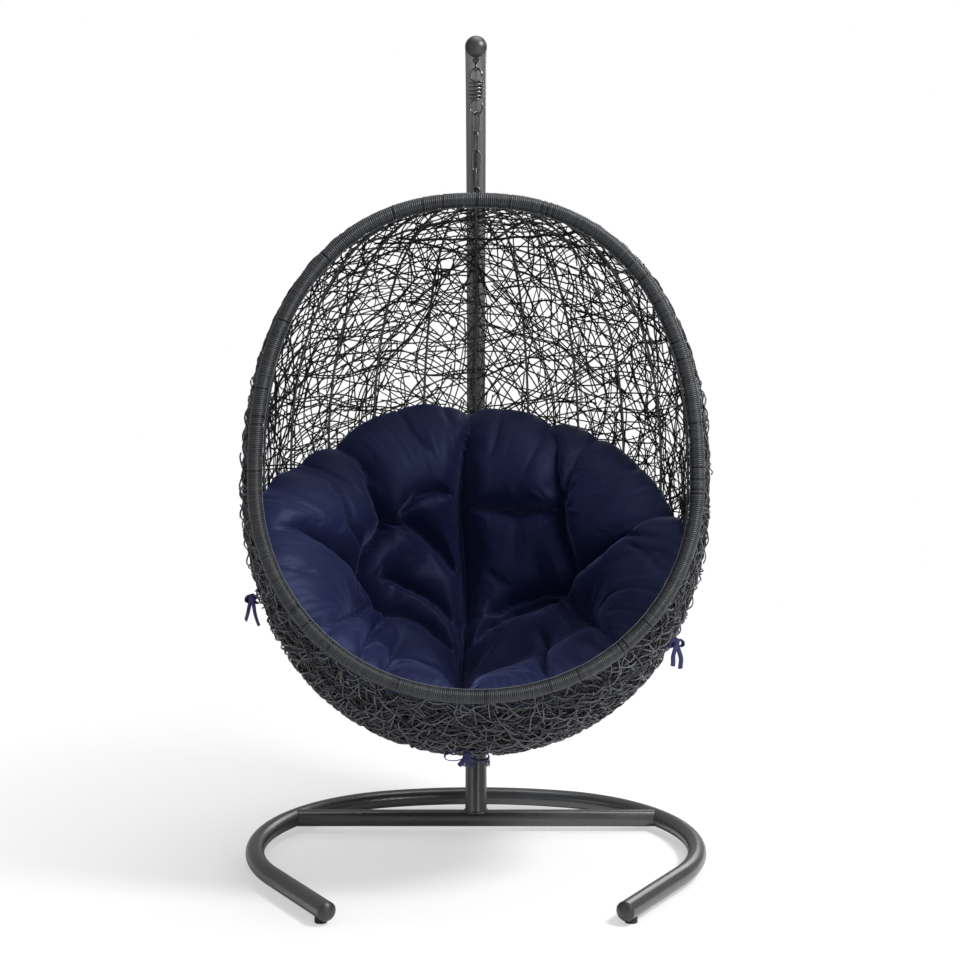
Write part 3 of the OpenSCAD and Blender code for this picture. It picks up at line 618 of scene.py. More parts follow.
@dataclass
class Stand:
    """Floor base, post and their fittings, which keep their CAD solids."""

    tube: PowderCoat = PowderCoat()
    tube_nodes: tuple[str, ...] = ("base_rear", "base_left", "base_right", "crossbar", "post_socket",
                                   "post_lower", "post_sleeve", "post_upper")
    cap: Moulded = Moulded("cap_plastic_finish", (0.020, 0.020, 0.022))
    foot: Moulded = Moulded("foot_rubber", (0.010, 0.010, 0.011), Sheen.RUBBER)
    bolt: BareSteel = BareSteel("bolt_zinc", (0.60, 0.61, 0.62), (0.42, 0.43, 0.45))
    weld_bead: float = 3.2 * MM
    weld_points: int = 96
    socket_r: float = 27.0 * MM
    bar_r: float = 21.0 * MM
    post_lean: float = math.radians(22.0)
    least_rise: float = 0.36

    def build(self) -> None:
        """Dresses the tubes, caps, pads and bolts."""
        coat = self.tube.make()
        dress(self.tube_nodes, coat)
        dress(["top_cap", "foot_cap_left", "foot_cap_right"], self.cap.make())
        dress(["foot_pads"], self.foot.make())
        dress(["socket_bolt", "socket_washers", "socket_nut", "joint_screws"], self.bolt.make())
        self._weld(coat)

    def _weld(self, coat: bpy.types.Material) -> None:
        """Weld bead where the socket meets the crossbar."""
        low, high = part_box("crossbar")
        axis_y, axis_z = (low.y + high.y) / 2, (low.z + high.z) / 2
        sin, cos = math.sin(self.post_lean), math.cos(self.post_lean)
        turn = np.linspace(0, FULL_TURN, self.weld_points + 1)[:-1]
        across, fore = self.socket_r * np.cos(turn), self.socket_r * np.sin(turn)
        # height along the socket at which its wall meets the bar's round, never near its middle
        rise = np.sqrt(np.maximum(self.bar_r ** 2 - np.minimum(abs(fore), self.bar_r) ** 2, 0))
        rise = np.maximum(rise, self.socket_r * self.least_rise)
        path = np.stack([across, axis_y + fore * cos + rise * sin,
                         axis_z - fore * sin + rise * cos], -1)
        bead = tubes("socket_weld", [path], [self.weld_bead], [0.0], coat, 2, True)
        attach(bead, "stand")
        LOG.info("socket_weld: %d points", len(path))


@dataclass
class Hanger:
    """Spring, hooks, links and eyes."""

    steel: BareSteel = BareSteel("blued_steel", (0.15, 0.15, 0.16), (0.06, 0.06, 0.065))
    wire: float = 5.0 * MM
    coil_r: float = 15.8 * MM
    turns: int = 5
    rings: int = 26
    curl_rings: int = 10
    hook_turn: float = math.radians(-25.0)

    def build(self) -> None:
        """Dresses the fittings and winds a smooth spring."""
        steel = self.steel.make()
        dress(["eye_bolt", "eye_washers", "eye_cap_nut", "spring_top_hook", "spring_bottom_hook",
               "basket_eye", "basket_eye_nut", *(f"chain_link_{k}" for k in range(1, 5))], steel)
        coil = tubes("spring_winding", [self._path()], [self.wire / 2], [0.3], steel, 3)
        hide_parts("spring_coil")
        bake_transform(coil)
        LOG.info("spring_winding: %d turns", self.turns)

    def _path(self) -> Array:
        """Centre line: straight start, lead-in curl, coil, and the same at the other end."""
        low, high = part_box("spring_coil")
        hang = middle_of("chain_link_3")
        top, height = high.z - self.wire / 2, high.z - low.z - self.wire
        lead_r = (self.coil_r ** 2 - self.wire ** 2) / (2 * self.coil_r)
        lead_a = math.atan2(lead_r, self.wire)
        curl = np.linspace(0, lead_a + math.pi / 2, self.curl_rings)[:-1]
        sweep = FULL_TURN * self.turns - 2 * lead_a
        wind = np.linspace(0, 1, self.rings * self.turns)
        lead = np.stack([self.wire + lead_r * np.sin(curl), lead_r * (1 - np.cos(curl)),
                         0 * curl], -1)
        body = np.stack([self.coil_r * np.cos(lead_a + sweep * wind),
                         self.coil_r * np.sin(lead_a + sweep * wind), -height * wind], -1)
        out = lead[::-1] * [1, -1, 1] - [0, 0, height]
        flat = np.vstack([[[0, 0, 0]], lead, body, out, [[0, 0, -height]]])
        cos, sin = math.cos(self.hook_turn), math.sin(self.hook_turn)
        turned = flat @ np.array([[cos, sin, 0], [-sin, cos, 0], [0, 0, 1]])
        return turned + [hang.x, hang.y, top]


# ---------------------------------------------------------------- basket


@dataclass
class Ribs:
    """Steel ribs inside the woven wall."""

    egg: Egg
    inset: float = 12.3 * MM
    rod: float = 3.1 * MM
    steps: int = 40
    count: int = 24
    first: float = math.radians(3.4)
    last: float = math.radians(175.8)
    rim_clear: float = 24.0 * MM
    paint: PowderCoat = PowderCoat("rib_paint", (0.020, 0.021, 0.024), (0.034, 0.036, 0.040))

    def build(self) -> None:
        """Lays a rib on every meridian, back and front."""
        coat = self.paint.make()
        dress(["top_plate", "bottom_plate", "rim_hoop"], coat)
        paths = [self._rib(FULL_TURN * k / self.count) for k in range(self.count)]
        paths = [p for p in paths if len(p) > 3]
        made = tubes("basket_ribs", paths, [self.rod] * len(paths), [0.2] * len(paths), coat, 2)
        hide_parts("ribs_back", "ribs_front_top", "ribs_front_bottom")
        on_basket(made)
        LOG.info("basket_ribs: %d rods", len(paths))

    def _rib(self, heading: float) -> Array:
        """One rib, from the top plate's rim down to the bottom plate's or the hoop."""
        t = np.linspace(self.first, self.last, self.steps)
        d = np.stack([np.sin(t) * math.sin(heading), np.sin(t) * math.cos(heading), np.cos(t)], -1)
        p = self.egg.centre + d * (self.egg.reach(d) - self.inset)[:, None]
        inside = self.egg.behind_hoop(p) > self.rim_clear
        if inside.all():
            return p
        runs = np.flatnonzero(~inside)
        top, bottom = p[:runs[0]], p[runs[-1] + 1:]
        return top if len(top) >= len(bottom) else bottom


@dataclass(frozen=True)
class Layer:
    """One layer of strands in the woven wall, in metres.

    A strand waves by swing about depth, once per pitch. Twins is the share that has a second
    strand beside it, curl how much it bends, pale its brightest tone, and highest how far
    above the egg's widest level it may start. Pale rises from the inner layers to the outside
    loops: painted highlight on the lit outside of the wall and painted shade on the inner strands.
    """

    name: str
    strands: int
    depth: float
    swing: float
    pitch: float
    shortest: float
    longest: float
    radius: float
    step: float
    twins: float
    curl: float = 1.0
    pale: float = 0.0
    highest: float = 1.0
    outside: bool = False


@dataclass
class Weave:
    """Random strands wound over the egg, in layers of even density."""

    egg: Egg
    seed: int = 11
    tries: int = 14
    cell: float = 0.018
    rim_gap: float = 0.011
    bottom_more: float = 0.55
    low_span: float = 0.45
    low_start: float = 0.1
    front_span: float = 0.2
    least_outside: float = 0.25
    fewest_points: int = 4
    crowd_power: float = 0.5
    twin_gap: tuple[float, float] = (4.2 * MM, 8.5 * MM)
    spare: int = 3
    march_tries: int = 8
    level_share: float = 0.34
    upright_share: float = 0.22
    level_spread: float = 0.38
    upright_spread: float = 0.5
    bend: float = 2.2
    sway: float = 5.5
    sway_pitch: tuple[float, float] = (0.14, 0.34)
    tone_top: float = 1.6
    size_spread: tuple[float, float] = (0.93, 1.09)
    # pale climbs from 0 on the inner layers to 0.62 on the loops: painted highlight outside, painted
    # shade inside
    layers: tuple[Layer, ...] = (
        Layer("weave_inner", 400, -7.6 * MM, 1.4 * MM, 0.110, 0.40, 1.00, 1.75 * MM, 0.0132, 0.06),
        Layer("weave_extra", 400, -6.6 * MM, 1.6 * MM, 0.100, 0.40, 1.00, 1.75 * MM, 0.0132, 0.06),
        Layer("weave_second", 400, -5.6 * MM, 1.7 * MM, 0.095, 0.40, 1.00, 1.70 * MM, 0.0130, 0.10),
        Layer("weave_third", 400, -3.6 * MM, 2.0 * MM, 0.085, 0.35, 0.95, 1.70 * MM, 0.0130, 0.10,
              pale=0.10),
        Layer("weave_outer", 400, -1.8 * MM, 2.2 * MM, 0.075, 0.30, 0.90, 1.70 * MM, 0.0130, 0.08,
              curl=0.8, pale=0.30),
        Layer("weave_loops", 800, 2.8 * MM, 4.2 * MM, 0.066, 0.12, 0.30, 1.75 * MM, 0.0090, 0.0,
              curl=0.6, pale=0.62, highest=0.30, outside=True),
    )
    # its pale colour is a painted highlight, reached only by the outer layers' tones
    finish: Strand = Strand("wicker_strand", (0.0045, 0.0050, 0.0060), (0.165, 0.170, 0.192), 0.36)

    def build(self) -> None:
        """Winds every layer."""
        material = self.finish.make()
        filled = {}
        for number, layer in enumerate(self.layers):
            rng = np.random.default_rng(self.seed + number)
            paths = self._choose(layer, rng, filled)
            # random tone per strand, capped by the layer's pale, which paints highlight on the outer
            # layers and shade on the inner ones
            tones = layer.pale * rng.beta(2.2, 2.0, len(paths)) * self.tone_top
            radii = layer.radius * rng.uniform(*self.size_spread, len(paths))
            made = tubes(layer.name, paths, radii, tones, material, 0)
            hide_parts("basket_weave")
            on_basket(made)
            LOG.info("%s: %d strands, %d faces", layer.name, len(paths), len(made.data.polygons))

    def _choose(self, layer: Layer, rng: np.random.Generator,
                filled: dict[tuple[int, int, int], float]) -> list[Array]:
        """Picks, strand by strand, the candidate that crosses the emptiest stretch of wall.

        Args:
            layer: the layer to wind.
            rng: source of the random draws.
            filled: how often strands cross each small cell of space, kept up to date here.

        Returns:
            The chosen strands' centre lines.
        """
        candidates = self._march(layer, rng)
        chosen: list[Array] = []
        for k in range(0, len(candidates) - self.tries, self.tries):
            best, least, best_cells = None, math.inf, []
            for path in candidates[k:k + self.tries]:
                if len(path) < self.fewest_points:
                    continue
                cells = [tuple(c) for c in np.floor(path / self.cell).astype(int)]
                crowd = sum(filled.get(c, 0.0) ** self.crowd_power for c in cells) / len(cells)
                crowd /= self._wanted(path, layer)
                if crowd < least:
                    best, least, best_cells = path, crowd, cells
            if best is None:
                continue
            for c in best_cells:
                filled[c] = filled.get(c, 0.0) + 1.0
            chosen.append(best)
            if rng.random() < layer.twins:
                chosen.append(self._twin(best, rng.uniform(*self.twin_gap)))
        return chosen

    def _wanted(self, path: Array, layer: Layer) -> float:
        """How dense the wall is round a strand, where 1 is the upper back."""
        middle = path[len(path) // 2] - self.egg.centre
        low = float(np.clip(-middle[2] / self.low_span + self.low_start, 0, 1))
        front = float(np.clip(-middle[1] / self.front_span, 0, 1))
        seen = max(low, front)
        more = 1 + self.bottom_more * seen
        share = self.least_outside + (1 - self.least_outside) * seen
        return more * share if layer.outside else more

    def _twin(self, path: Array, gap: float) -> Array:
        """A second strand that runs beside the first."""
        ahead = unit(np.gradient(path, axis=0))
        return path + unit(np.cross(ahead, path - self.egg.centre)) * gap

    def _march(self, layer: Layer, rng: np.random.Generator) -> list[Array]:
        """Marches candidate strands over the wall, up to the rim.

        Args:
            layer: the layer that they are for.
            rng: source of the random draws.

        Returns:
            Their centre lines.
        """
        d = unit(rng.normal(size=(layer.strands * self.tries * self.spare, 3)))
        at = self.egg.centre + d * self.egg.reach(d)[:, None]
        on_wall = ((self.egg.behind_hoop(at) > self.rim_gap)
                   & (at[:, 2] < self.egg.level_z + layer.highest))
        at = at[on_wall][:layer.strands * self.tries]
        n = len(at)
        steps = (rng.uniform(layer.shortest, layer.longest, n) / layer.step).astype(int)
        kind = rng.random(n)
        lie = np.where(kind < self.level_share, rng.normal(0, self.level_spread, n), np.where(
            kind < self.level_share + self.upright_share,
            math.pi / 2 + rng.normal(0, self.upright_spread, n), rng.uniform(0, math.pi, n)))
        lie += math.pi * (rng.random(n) < 0.5)
        out = unit(at - self.egg.centre)
        east = unit(np.cross(np.tile(UP, (n, 1)), out))
        going = np.cos(lie)[:, None] * east + np.sin(lie)[:, None] * np.cross(out, east)
        bend = rng.normal(0, self.bend, n) * layer.curl
        sway = rng.normal(0, self.sway, n) * layer.curl
        phase, sway_phase = rng.uniform(0, PHASES, n), rng.uniform(0, PHASES, n)
        sway_pitch = rng.uniform(*self.sway_pitch, n)
        points = []
        for k in range(int(steps.max()) + 1):
            run = k * layer.step
            out = unit(at - self.egg.centre)
            wave = layer.depth + layer.swing * np.sin(phase + FULL_TURN * run / layer.pitch)
            points.append(at + out * wave[:, None])
            curve = bend + sway * np.sin(sway_phase + FULL_TURN * run / sway_pitch)
            going = unit(going + np.cross(out, going) * (curve * layer.step)[:, None])
            side = unit(at + going * layer.step - self.egg.centre)
            onto = self.egg.centre + side * self.egg.reach(side, self.march_tries)[:, None]
            going = unit(onto - at)
            at = onto
        grid = np.stack(points, 1)
        behind = self.egg.behind_hoop(grid.reshape(-1, 3)).reshape(n, -1)
        ends = []
        for i in range(n):
            inside = behind[i, :steps[i]] > self.rim_gap
            ends.append(grid[i, :steps[i] if inside.all() else int(np.argmin(inside))])
        return ends


@dataclass
class RimWinding:
    """Strand wound close round the hoop, with its starts, and the cord along its edge."""

    egg: Egg
    radius: float = 15.75 * MM
    turns: int = 744
    samples: int = 6
    sides: int = 12
    seed: int = 5
    groove: float = 1.6 * MM
    groove_power: float = 2.2
    # share of the tone taken off at each groove between turns: painted shade
    groove_painted_shade: float = 0.97
    uneven: float = 0.10 * MM
    darkest: float = 0.45
    starts: int = 36
    start_dip: float = 1.1 * MM
    start_proud: float = 0.5 * MM
    fine: int = 4001
    cord_steps: int = 720
    cord_r: float = 1.25 * MM
    cord_out: float = 0.7 * MM
    cord_wobble: float = 0.5 * MM
    cord_turn: float = math.radians(4.0)
    cord_sway: float = 0.16
    finish: Strand = Strand("rim_strand", (0.004, 0.0045, 0.0055), (0.064, 0.069, 0.078), 0.42)
    # the cord's pale colour paints a highlight along the rim's outer edge
    edge_cord_highlight_finish: Strand = Strand("edge_cord", (0.050, 0.053, 0.058), (0.15, 0.155, 0.165), 0.4)

    def build(self) -> None:
        """Winds the rim and lays the edge cord."""
        rng = np.random.default_rng(self.seed)
        angles = self._even_angles()
        start_turns = np.sort(rng.choice(self.turns, self.starts, replace=False))
        lift = rng.normal(0, self.uneven, self.turns)
        dark = rng.uniform(self.darkest, 1.0, self.turns)
        lift[start_turns] -= self.start_dip
        lift[(start_turns + 1) % self.turns] += self.start_proud
        dark[start_turns] = 0.0

        def turn_at(u: Array) -> tuple[Array, Array]:
            """Which turn lies at u, and how near its groove, from 0 to 1."""
            turn = np.floor(u * self.turns * 0.999999).astype(int) % self.turns
            return turn, np.abs(2 * ((u * self.turns) % 1.0) - 1)

        def place(u: Array, v: Array) -> Array:
            """Points of the wound surface."""
            turn, edge = turn_at(u)
            a = np.interp(u, np.linspace(0, 1, len(angles)), angles)
            r = self.radius - self.groove * edge ** self.groove_power + lift[turn]
            return self._around(a, FULL_TURN * v, r)

        def tone(u: Array, v: Array) -> Array:
            """Tone of the wound surface: random per turn, darkened towards each groove as painted
            shade.
            """
            turn, edge = turn_at(u)
            return dark[turn] * (1 - self.groove_painted_shade * edge)

        bm = skin(self.turns * self.samples, self.sides, place, tone, 2e-6)
        made = finish_mesh("rim_winding", bm, self.finish.make())
        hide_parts("rim_wrap")
        on_basket(made)
        self._edge_cord(rng)
        LOG.info("rim_winding: %d turns, %d starts", self.turns, self.starts)

    def _even_angles(self) -> Array:
        """Angles round the hoop at even spacing along it."""
        a = np.linspace(0, FULL_TURN, self.fine)
        p = self.egg.hoop_point(a)
        run = np.r_[0, np.cumsum(np.linalg.norm(np.diff(p, axis=0), axis=1))]
        return np.interp(np.linspace(0, run[-1], self.fine), run, a)

    def _around(self, a: Array, turn: Array, r: Array) -> Array:
        """Points round the hoop's centre line, turned from outwards towards the back."""
        middle = self.egg.hoop_point(a)
        ahead = unit(self.egg.hoop_point(a + 1e-3) - self.egg.hoop_point(a - 1e-3))
        back = np.broadcast_to(self.egg.back, middle.shape)
        out = unit(np.cross(back, ahead))
        return middle + r[:, None] * (np.cos(turn)[:, None] * out + np.sin(turn)[:, None] * back)

    def _edge_cord(self, rng: np.random.Generator) -> None:
        """Cord that binds the wall to the rim, along the rim's outer edge; its pale tone is a painted
        highlight.
        """
        a = np.linspace(0, FULL_TURN, self.cord_steps + 1)[:-1]
        kernel = np.ones(5) / 5
        wobble, sway = (np.convolve(rng.normal(0, 1, self.cord_steps + len(kernel) - 1), kernel,
                                    "valid") for _ in range(2))
        path = self._around(a, self.cord_turn + self.cord_sway * sway,
                            self.radius + self.cord_out + self.cord_wobble * wobble)
        # tone 0.6 towards the pale colour: painted highlight
        made = tubes("rim_edge_cord", [path], [self.cord_r], [0.6], self.edge_cord_highlight_finish.make(), 1, True)
        on_basket(made)


# ---------------------------------------------------------------- cushion


@dataclass(frozen=True)
class Crease:
    """A sewn or folded line in the cushion: (run out from the middle, heading) points."""

    points: tuple[tuple[float, float], ...]
    depth: float
    width: float
    fade_start: float = 0.12
    fade_end: float = 0.12


CREASES: tuple[Crease, ...] = (
    # between the two halves
    Crease(((1.0, -178), (0.95, -177), (0.84, -175), (0.59, -172), (0.38, -171), (0.17, -166),
            (0.05, -127), (0.10, -29), (0.4, -10), (0.7, -7), (1.0, -4)), 50, 24, 0.0, 0.0),
    # left half: roll against seat
    Crease(((1.0, -133), (0.96, -134), (0.91, -133), (0.81, -129), (0.69, -127), (0.60, -126)),
           38, 26, 0.0, 0.0),
    Crease(((0.62, -128), (0.56, -138), (0.46, -145), (0.36, -152), (0.27, -157), (0.17, -163)),
           30, 20, 0.0, 0.2),
    Crease(((0.60, -127), (0.58, -117), (0.54, -103), (0.49, -94), (0.41, -90), (0.36, -83)),
           40, 26, 0.0, 0.0),
    Crease(((0.45, -99), (0.38, -108), (0.30, -112), (0.22, -114), (0.12, -106), (0.07, -60)),
           28, 16, 0.1, 0.1),
    Crease(((0.36, -83), (0.26, -87), (0.18, -80), (0.15, -50), (0.17, -22)), 28, 18, 0.0, 0.1),
    # left half: folds in the roll
    Crease(((1.0, -119), (0.95, -116), (0.85, -110), (0.74, -103), (0.54, -101), (0.43, -91)),
           14, 9),
    Crease(((1.0, -84), (0.96, -86), (0.90, -88), (0.78, -89), (0.60, -93), (0.46, -89)),
           30, 18, 0.05, 0.1),
    Crease(((1.0, -47), (0.96, -49), (0.85, -53), (0.74, -58), (0.60, -66), (0.47, -76),
            (0.38, -85)), 20, 12),
    Crease(((1.0, -36), (0.85, -41), (0.70, -47), (0.55, -56), (0.42, -68), (0.36, -80)), 26, 14),
    Crease(((0.98, -43), (0.75, -55), (0.60, -63), (0.47, -74)), 10, 8, 0.3, 0.2),
    Crease(((1.0, -29), (0.80, -33), (0.60, -40), (0.42, -52), (0.30, -66)), 22, 13, 0.05, 0.25),
    Crease(((0.41, -66), (0.35, -76), (0.34, -85)), 12, 8, 0.2, 0.1),
    Crease(((0.59, -172), (0.65, -158), (0.65, -147), (0.62, -130)), 20, 14),
    Crease(((1.0, -156), (0.95, -156), (0.86, -159)), 9, 9, 0.1, 0.5),
    Crease(((1.0, -170), (0.97, -172), (0.91, -173), (0.81, -174)), 14, 10, 0.05, 0.4),
    Crease(((1.0, -71), (0.96, -69), (0.88, -69)), 12, 9, 0.1, 0.4),
    Crease(((1.0, -95), (0.95, -96), (0.86, -97)), 12, 10, 0.1, 0.4),
    # right half: roll against seat
    Crease(((1.0, 156), (0.95, 150), (0.83, 143), (0.74, 136), (0.66, 133)), 34, 24, 0.0, 0.0),
    Crease(((0.66, 133), (0.58, 125), (0.53, 111), (0.51, 104), (0.45, 99), (0.39, 95)),
           38, 24, 0.0, 0.0),
    Crease(((0.57, -173), (0.56, 171), (0.59, 152), (0.63, 142), (0.65, 134)), 26, 17, 0.05, 0.0),
    Crease(((0.04, 133), (0.18, 120), (0.32, 109), (0.40, 99)), 28, 16, 0.15, 0.0),
    Crease(((0.14, -15), (0.06, 75), (0.15, 103), (0.24, 101), (0.33, 98), (0.39, 94)),
           26, 18, 0.1, 0.0),
    # right half: folds in the roll
    Crease(((1.0, 100), (0.94, 99), (0.88, 97), (0.72, 98), (0.51, 101), (0.42, 97)),
           32, 20, 0.0, 0.0),
    Crease(((1.0, 140), (0.94, 139), (0.86, 137), (0.70, 131)), 26, 16, 0.0, 0.1),
    Crease(((1.0, 83), (0.99, 87), (0.95, 90), (0.84, 96), (0.70, 97)), 16, 11),
    Crease(((1.0, 42), (0.96, 45), (0.90, 49), (0.78, 55), (0.64, 63), (0.51, 72), (0.40, 90)),
           24, 14),
    Crease(((1.0, 22), (0.80, 27), (0.60, 36), (0.42, 50), (0.30, 65)), 18, 11, 0.05, 0.3),
    Crease(((0.37, 86), (0.43, 73), (0.50, 64)), 9, 8, 0.1, 0.4),
    Crease(((1.0, 68), (0.98, 74), (0.93, 84), (0.86, 90)), 11, 9),
    Crease(((1.0, 172), (0.92, 172), (0.82, 174)), 10, 9, 0.05, 0.5),
    Crease(((1.0, 122), (0.95, 122), (0.88, 119)), 10, 9, 0.05, 0.5),
    Crease(((1.0, 112), (0.96, 111), (0.90, 110)), 9, 8, 0.05, 0.5),
)


@dataclass
class Cushion:
    """One thick cushion in two halves, pressed into the egg."""

    egg: Egg
    inset: float = 17.0 * MM
    behind_hoop: float = 22.0 * MM
    seat_t: float = 95.0 * MM
    roll_t: float = 170.0 * MM
    edge_power: float = 6.0
    back_tilt: float = math.radians(41.0)
    edge: tuple[tuple[float, float], ...] = (
        (-180, 66.5), (-160, 68.9), (-140, 69.8), (-119, 72.5), (-104, 79), (-92, 84), (-75, 84),
        (-50, 78), (-25, 69), (0, 66), (25, 67), (50, 71), (75, 74), (94, 73.4), (108, 69.4),
        (130, 68.2), (150, 67.2), (170, 66.4), (180, 66.5))
    cells: int = 150
    lobe: float = 2.5
    deepen: float = 2.3
    scallop: float = 3.0
    scallop_width: float = 24.0
    scallop_power: float = 1.6
    scallop_fade: float = 4.0
    thinnest: float = 30.0 * MM
    blend_power: float = 16.0
    line_points: int = 140
    smoothings: int = 40
    block: int = 8000
    full_grip: float = 22.0
    tuft_r: float = 22.0 * MM
    slack_waves: tuple[tuple[float, float], ...] = ((3.5, 6.0), (8.0, 1.6))
    pleat: float = 2.6 * MM
    pleat_r: float = 40.0 * MM
    gather: float = 2.4 * MM
    gathers: tuple[int, ...] = (43, 71, 97, 131)
    tufts: tuple[tuple[float, float], ...] = ((0.60, -127), (0.36, -83), (0.66, 133), (0.39, 95))
    tuft_depth: float = 22.0 * MM
    seed: int = 3
    frames: int = 20
    pinned: float = 0.9
    pressure: float = 3.5
    slack: float = -0.015
    most: float = 22.0 * MM
    cloth: SatinCloth = SatinCloth("cushion_satin", (0.0062, 0.0080, 0.036), (0.0100, 0.0130, 0.056),
                                   (0.36, 0.43, 0.90))

    def build(self) -> None:
        """Shapes, sews, fills and dresses the cushion."""
        bm = bmesh.new()
        fixed = bm.verts.layers.float.new("fixed")
        for top in (True, False):
            self._side(bm, top, fixed)
        bmesh.ops.remove_doubles(bm, verts=bm.verts, dist=1e-5)
        bmesh.ops.recalc_face_normals(bm, faces=bm.faces)
        made = finish_mesh("seat_cushion", bm, self.cloth.make())
        self._fill(made)
        finer = made.modifiers.new("round", "SUBSURF")
        finer.levels = finer.render_levels = 1
        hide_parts("cushion")
        on_basket(made)
        LOG.info("cushion: %d points", len(made.data.vertices))

    def _side(self, bm: bmesh.types.BMesh, top: bool, fixed: bmesh.types.BMLayerItem) -> None:
        """Adds the top or the underside to a mesh."""
        before = len(bm.verts)
        bmesh.ops.create_grid(bm, x_segments=self.cells, y_segments=self.cells, size=1.0)
        bm.verts.ensure_lookup_table()
        new = bm.verts[before:]
        run, heading = self._disc(np.array([v.co[:2] for v in new]))
        points, held = self._points(run, heading, top)
        for vert, point, grip in zip(new, points, held):
            vert.co = point
            vert[fixed] = grip

    @staticmethod
    def _disc(flat: Array) -> tuple[Array, Array]:
        """Maps a square to a disc without pinching.

        Args:
            flat: points of the square, from -1 to 1.

        Returns:
            Run out from the middle, and heading in radians.
        """
        x, y = flat[:, 0], flat[:, 1]
        wide = np.abs(x) >= np.abs(y)
        with np.errstate(divide="ignore", invalid="ignore"):
            a = np.where(wide, (math.pi / 4) * (y / x), (math.pi / 2) - (math.pi / 4) * (x / y))
        r = np.where(wide, x, y)
        a = np.where((x == 0) & (y == 0), 0.0, np.nan_to_num(a))
        return 1 - (1 - np.abs(r)) ** 1.25, np.arctan2(r * np.sin(a), r * np.cos(a))

    def _reach(self, heading: Array) -> Array:
        """How far out the edge lies, in degrees from the middle, at a heading in radians."""
        at, reach = np.array(self.edge, float).T
        turn = np.degrees(heading)
        k = np.clip(np.searchsorted(at, turn, side="right") - 1, 0, len(at) - 2)
        t = (1 - np.cos(math.pi * (turn - at[k]) / (at[k + 1] - at[k]))) / 2
        smooth = reach[k] * (1 - t) + reach[k + 1] * t
        for crease in CREASES:
            end = crease.points[0] if crease.points[0][0] == 1.0 else crease.points[-1]
            if end[0] == 1.0:
                off = (turn - end[1] + 180) % 360 - 180
                size = (crease.width / self.scallop_width) ** self.scallop_power
                dip = np.exp(-np.abs(off) / (self.scallop_fade * size))
                smooth = smooth - self.scallop * size * dip
        return smooth

    def _direction(self, run: Array, heading: Array) -> Array:
        """Unit directions from the egg's centre for a run and a heading."""
        a = np.radians(run * self._reach(heading))
        cos_t, sin_t = math.cos(self.back_tilt), math.sin(self.back_tilt)
        return np.stack([
            np.sin(a) * np.sin(heading),
            np.cos(a) * sin_t - np.sin(a) * np.cos(heading) * cos_t,
            -np.cos(a) * cos_t - np.sin(a) * np.cos(heading) * sin_t], -1)

    def _outer(self, d: Array) -> Array:
        """Distance to the underside: the wall, and a plane behind the hoop."""
        wall = self.egg.reach(d) - self.inset
        run = self.egg.back @ np.array([0, self.egg.hoop_front, -self.egg.hoop_lift])
        ahead = np.maximum(1e-6, -(d @ self.egg.back))
        soft = self.blend_power
        return (wall ** -soft + ((run - self.behind_hoop) / ahead) ** -soft) ** (-1 / soft)

    def _crown(self, run: Array) -> Array:
        """Thickness before sewing: a seat and a fat roll round it."""
        return self.seat_t + (self.roll_t - self.seat_t) * np.sin(
            np.radians(np.minimum(90, 110 * run))) ** 4

    def _edge(self, run: Array) -> Array:
        """Share of the thickness that is left towards the edge."""
        return np.sqrt(np.maximum(0, 1 - run ** self.edge_power))

    def _points(self, run: Array, heading: Array, top: bool) -> tuple[Array, Array]:
        """Points of the cushion's top or underside, and how firmly each is held."""
        d = self._direction(run, heading)
        r = self._outer(d)
        if not top:
            return self.egg.centre + d * r[:, None], np.ones(len(run))
        edge, crown = self._edge(run), self._crown(run)
        plain = self.egg.centre + d * (r - crown * edge)[:, None]
        sewn, held = self._sewing(plain)
        notch = np.interp(run, [0.9, 1.0], [1.0, 0.5])
        cut = (sewn + self._slack(plain, run, heading)) * notch
        thick = np.maximum(crown - cut, self.thinnest) * edge
        return self.egg.centre + d * (r - thick)[:, None], np.maximum(held, run > 0.985)

    def _plain_top(self, run: Array, heading: Array) -> Array:
        """Points of the top before it is sewn."""
        d = self._direction(run, heading)
        return self.egg.centre + d * (self._outer(d) - self._crown(run) * self._edge(run))[:, None]

    def _line(self, crease: Crease) -> tuple[Array, Array]:
        """Points along a crease on the plain top, and its weight at each."""
        run = np.array([p[0] for p in crease.points])
        heading = np.radians([p[1] for p in crease.points])
        flat = np.stack([run * np.cos(heading), run * np.sin(heading)], -1)
        along = np.r_[0, np.cumsum(np.linalg.norm(np.diff(flat, axis=0), axis=1))]
        s = np.linspace(0, 1, self.line_points)
        fine = np.stack([np.interp(s * along[-1], along, flat[:, k]) for k in (0, 1)], -1)
        for _ in range(self.smoothings):
            fine[1:-1] = (fine[:-2] + 2 * fine[1:-1] + fine[2:]) / 4
        weight = np.minimum(
            np.clip(s / max(crease.fade_start, 1e-3), 0, 1),
            np.clip((1 - s) / max(crease.fade_end, 1e-3), 0, 1))
        run, heading = np.hypot(*fine.T), np.arctan2(fine[:, 1], fine[:, 0])
        return self._plain_top(np.minimum(run, 1.0), heading), weight

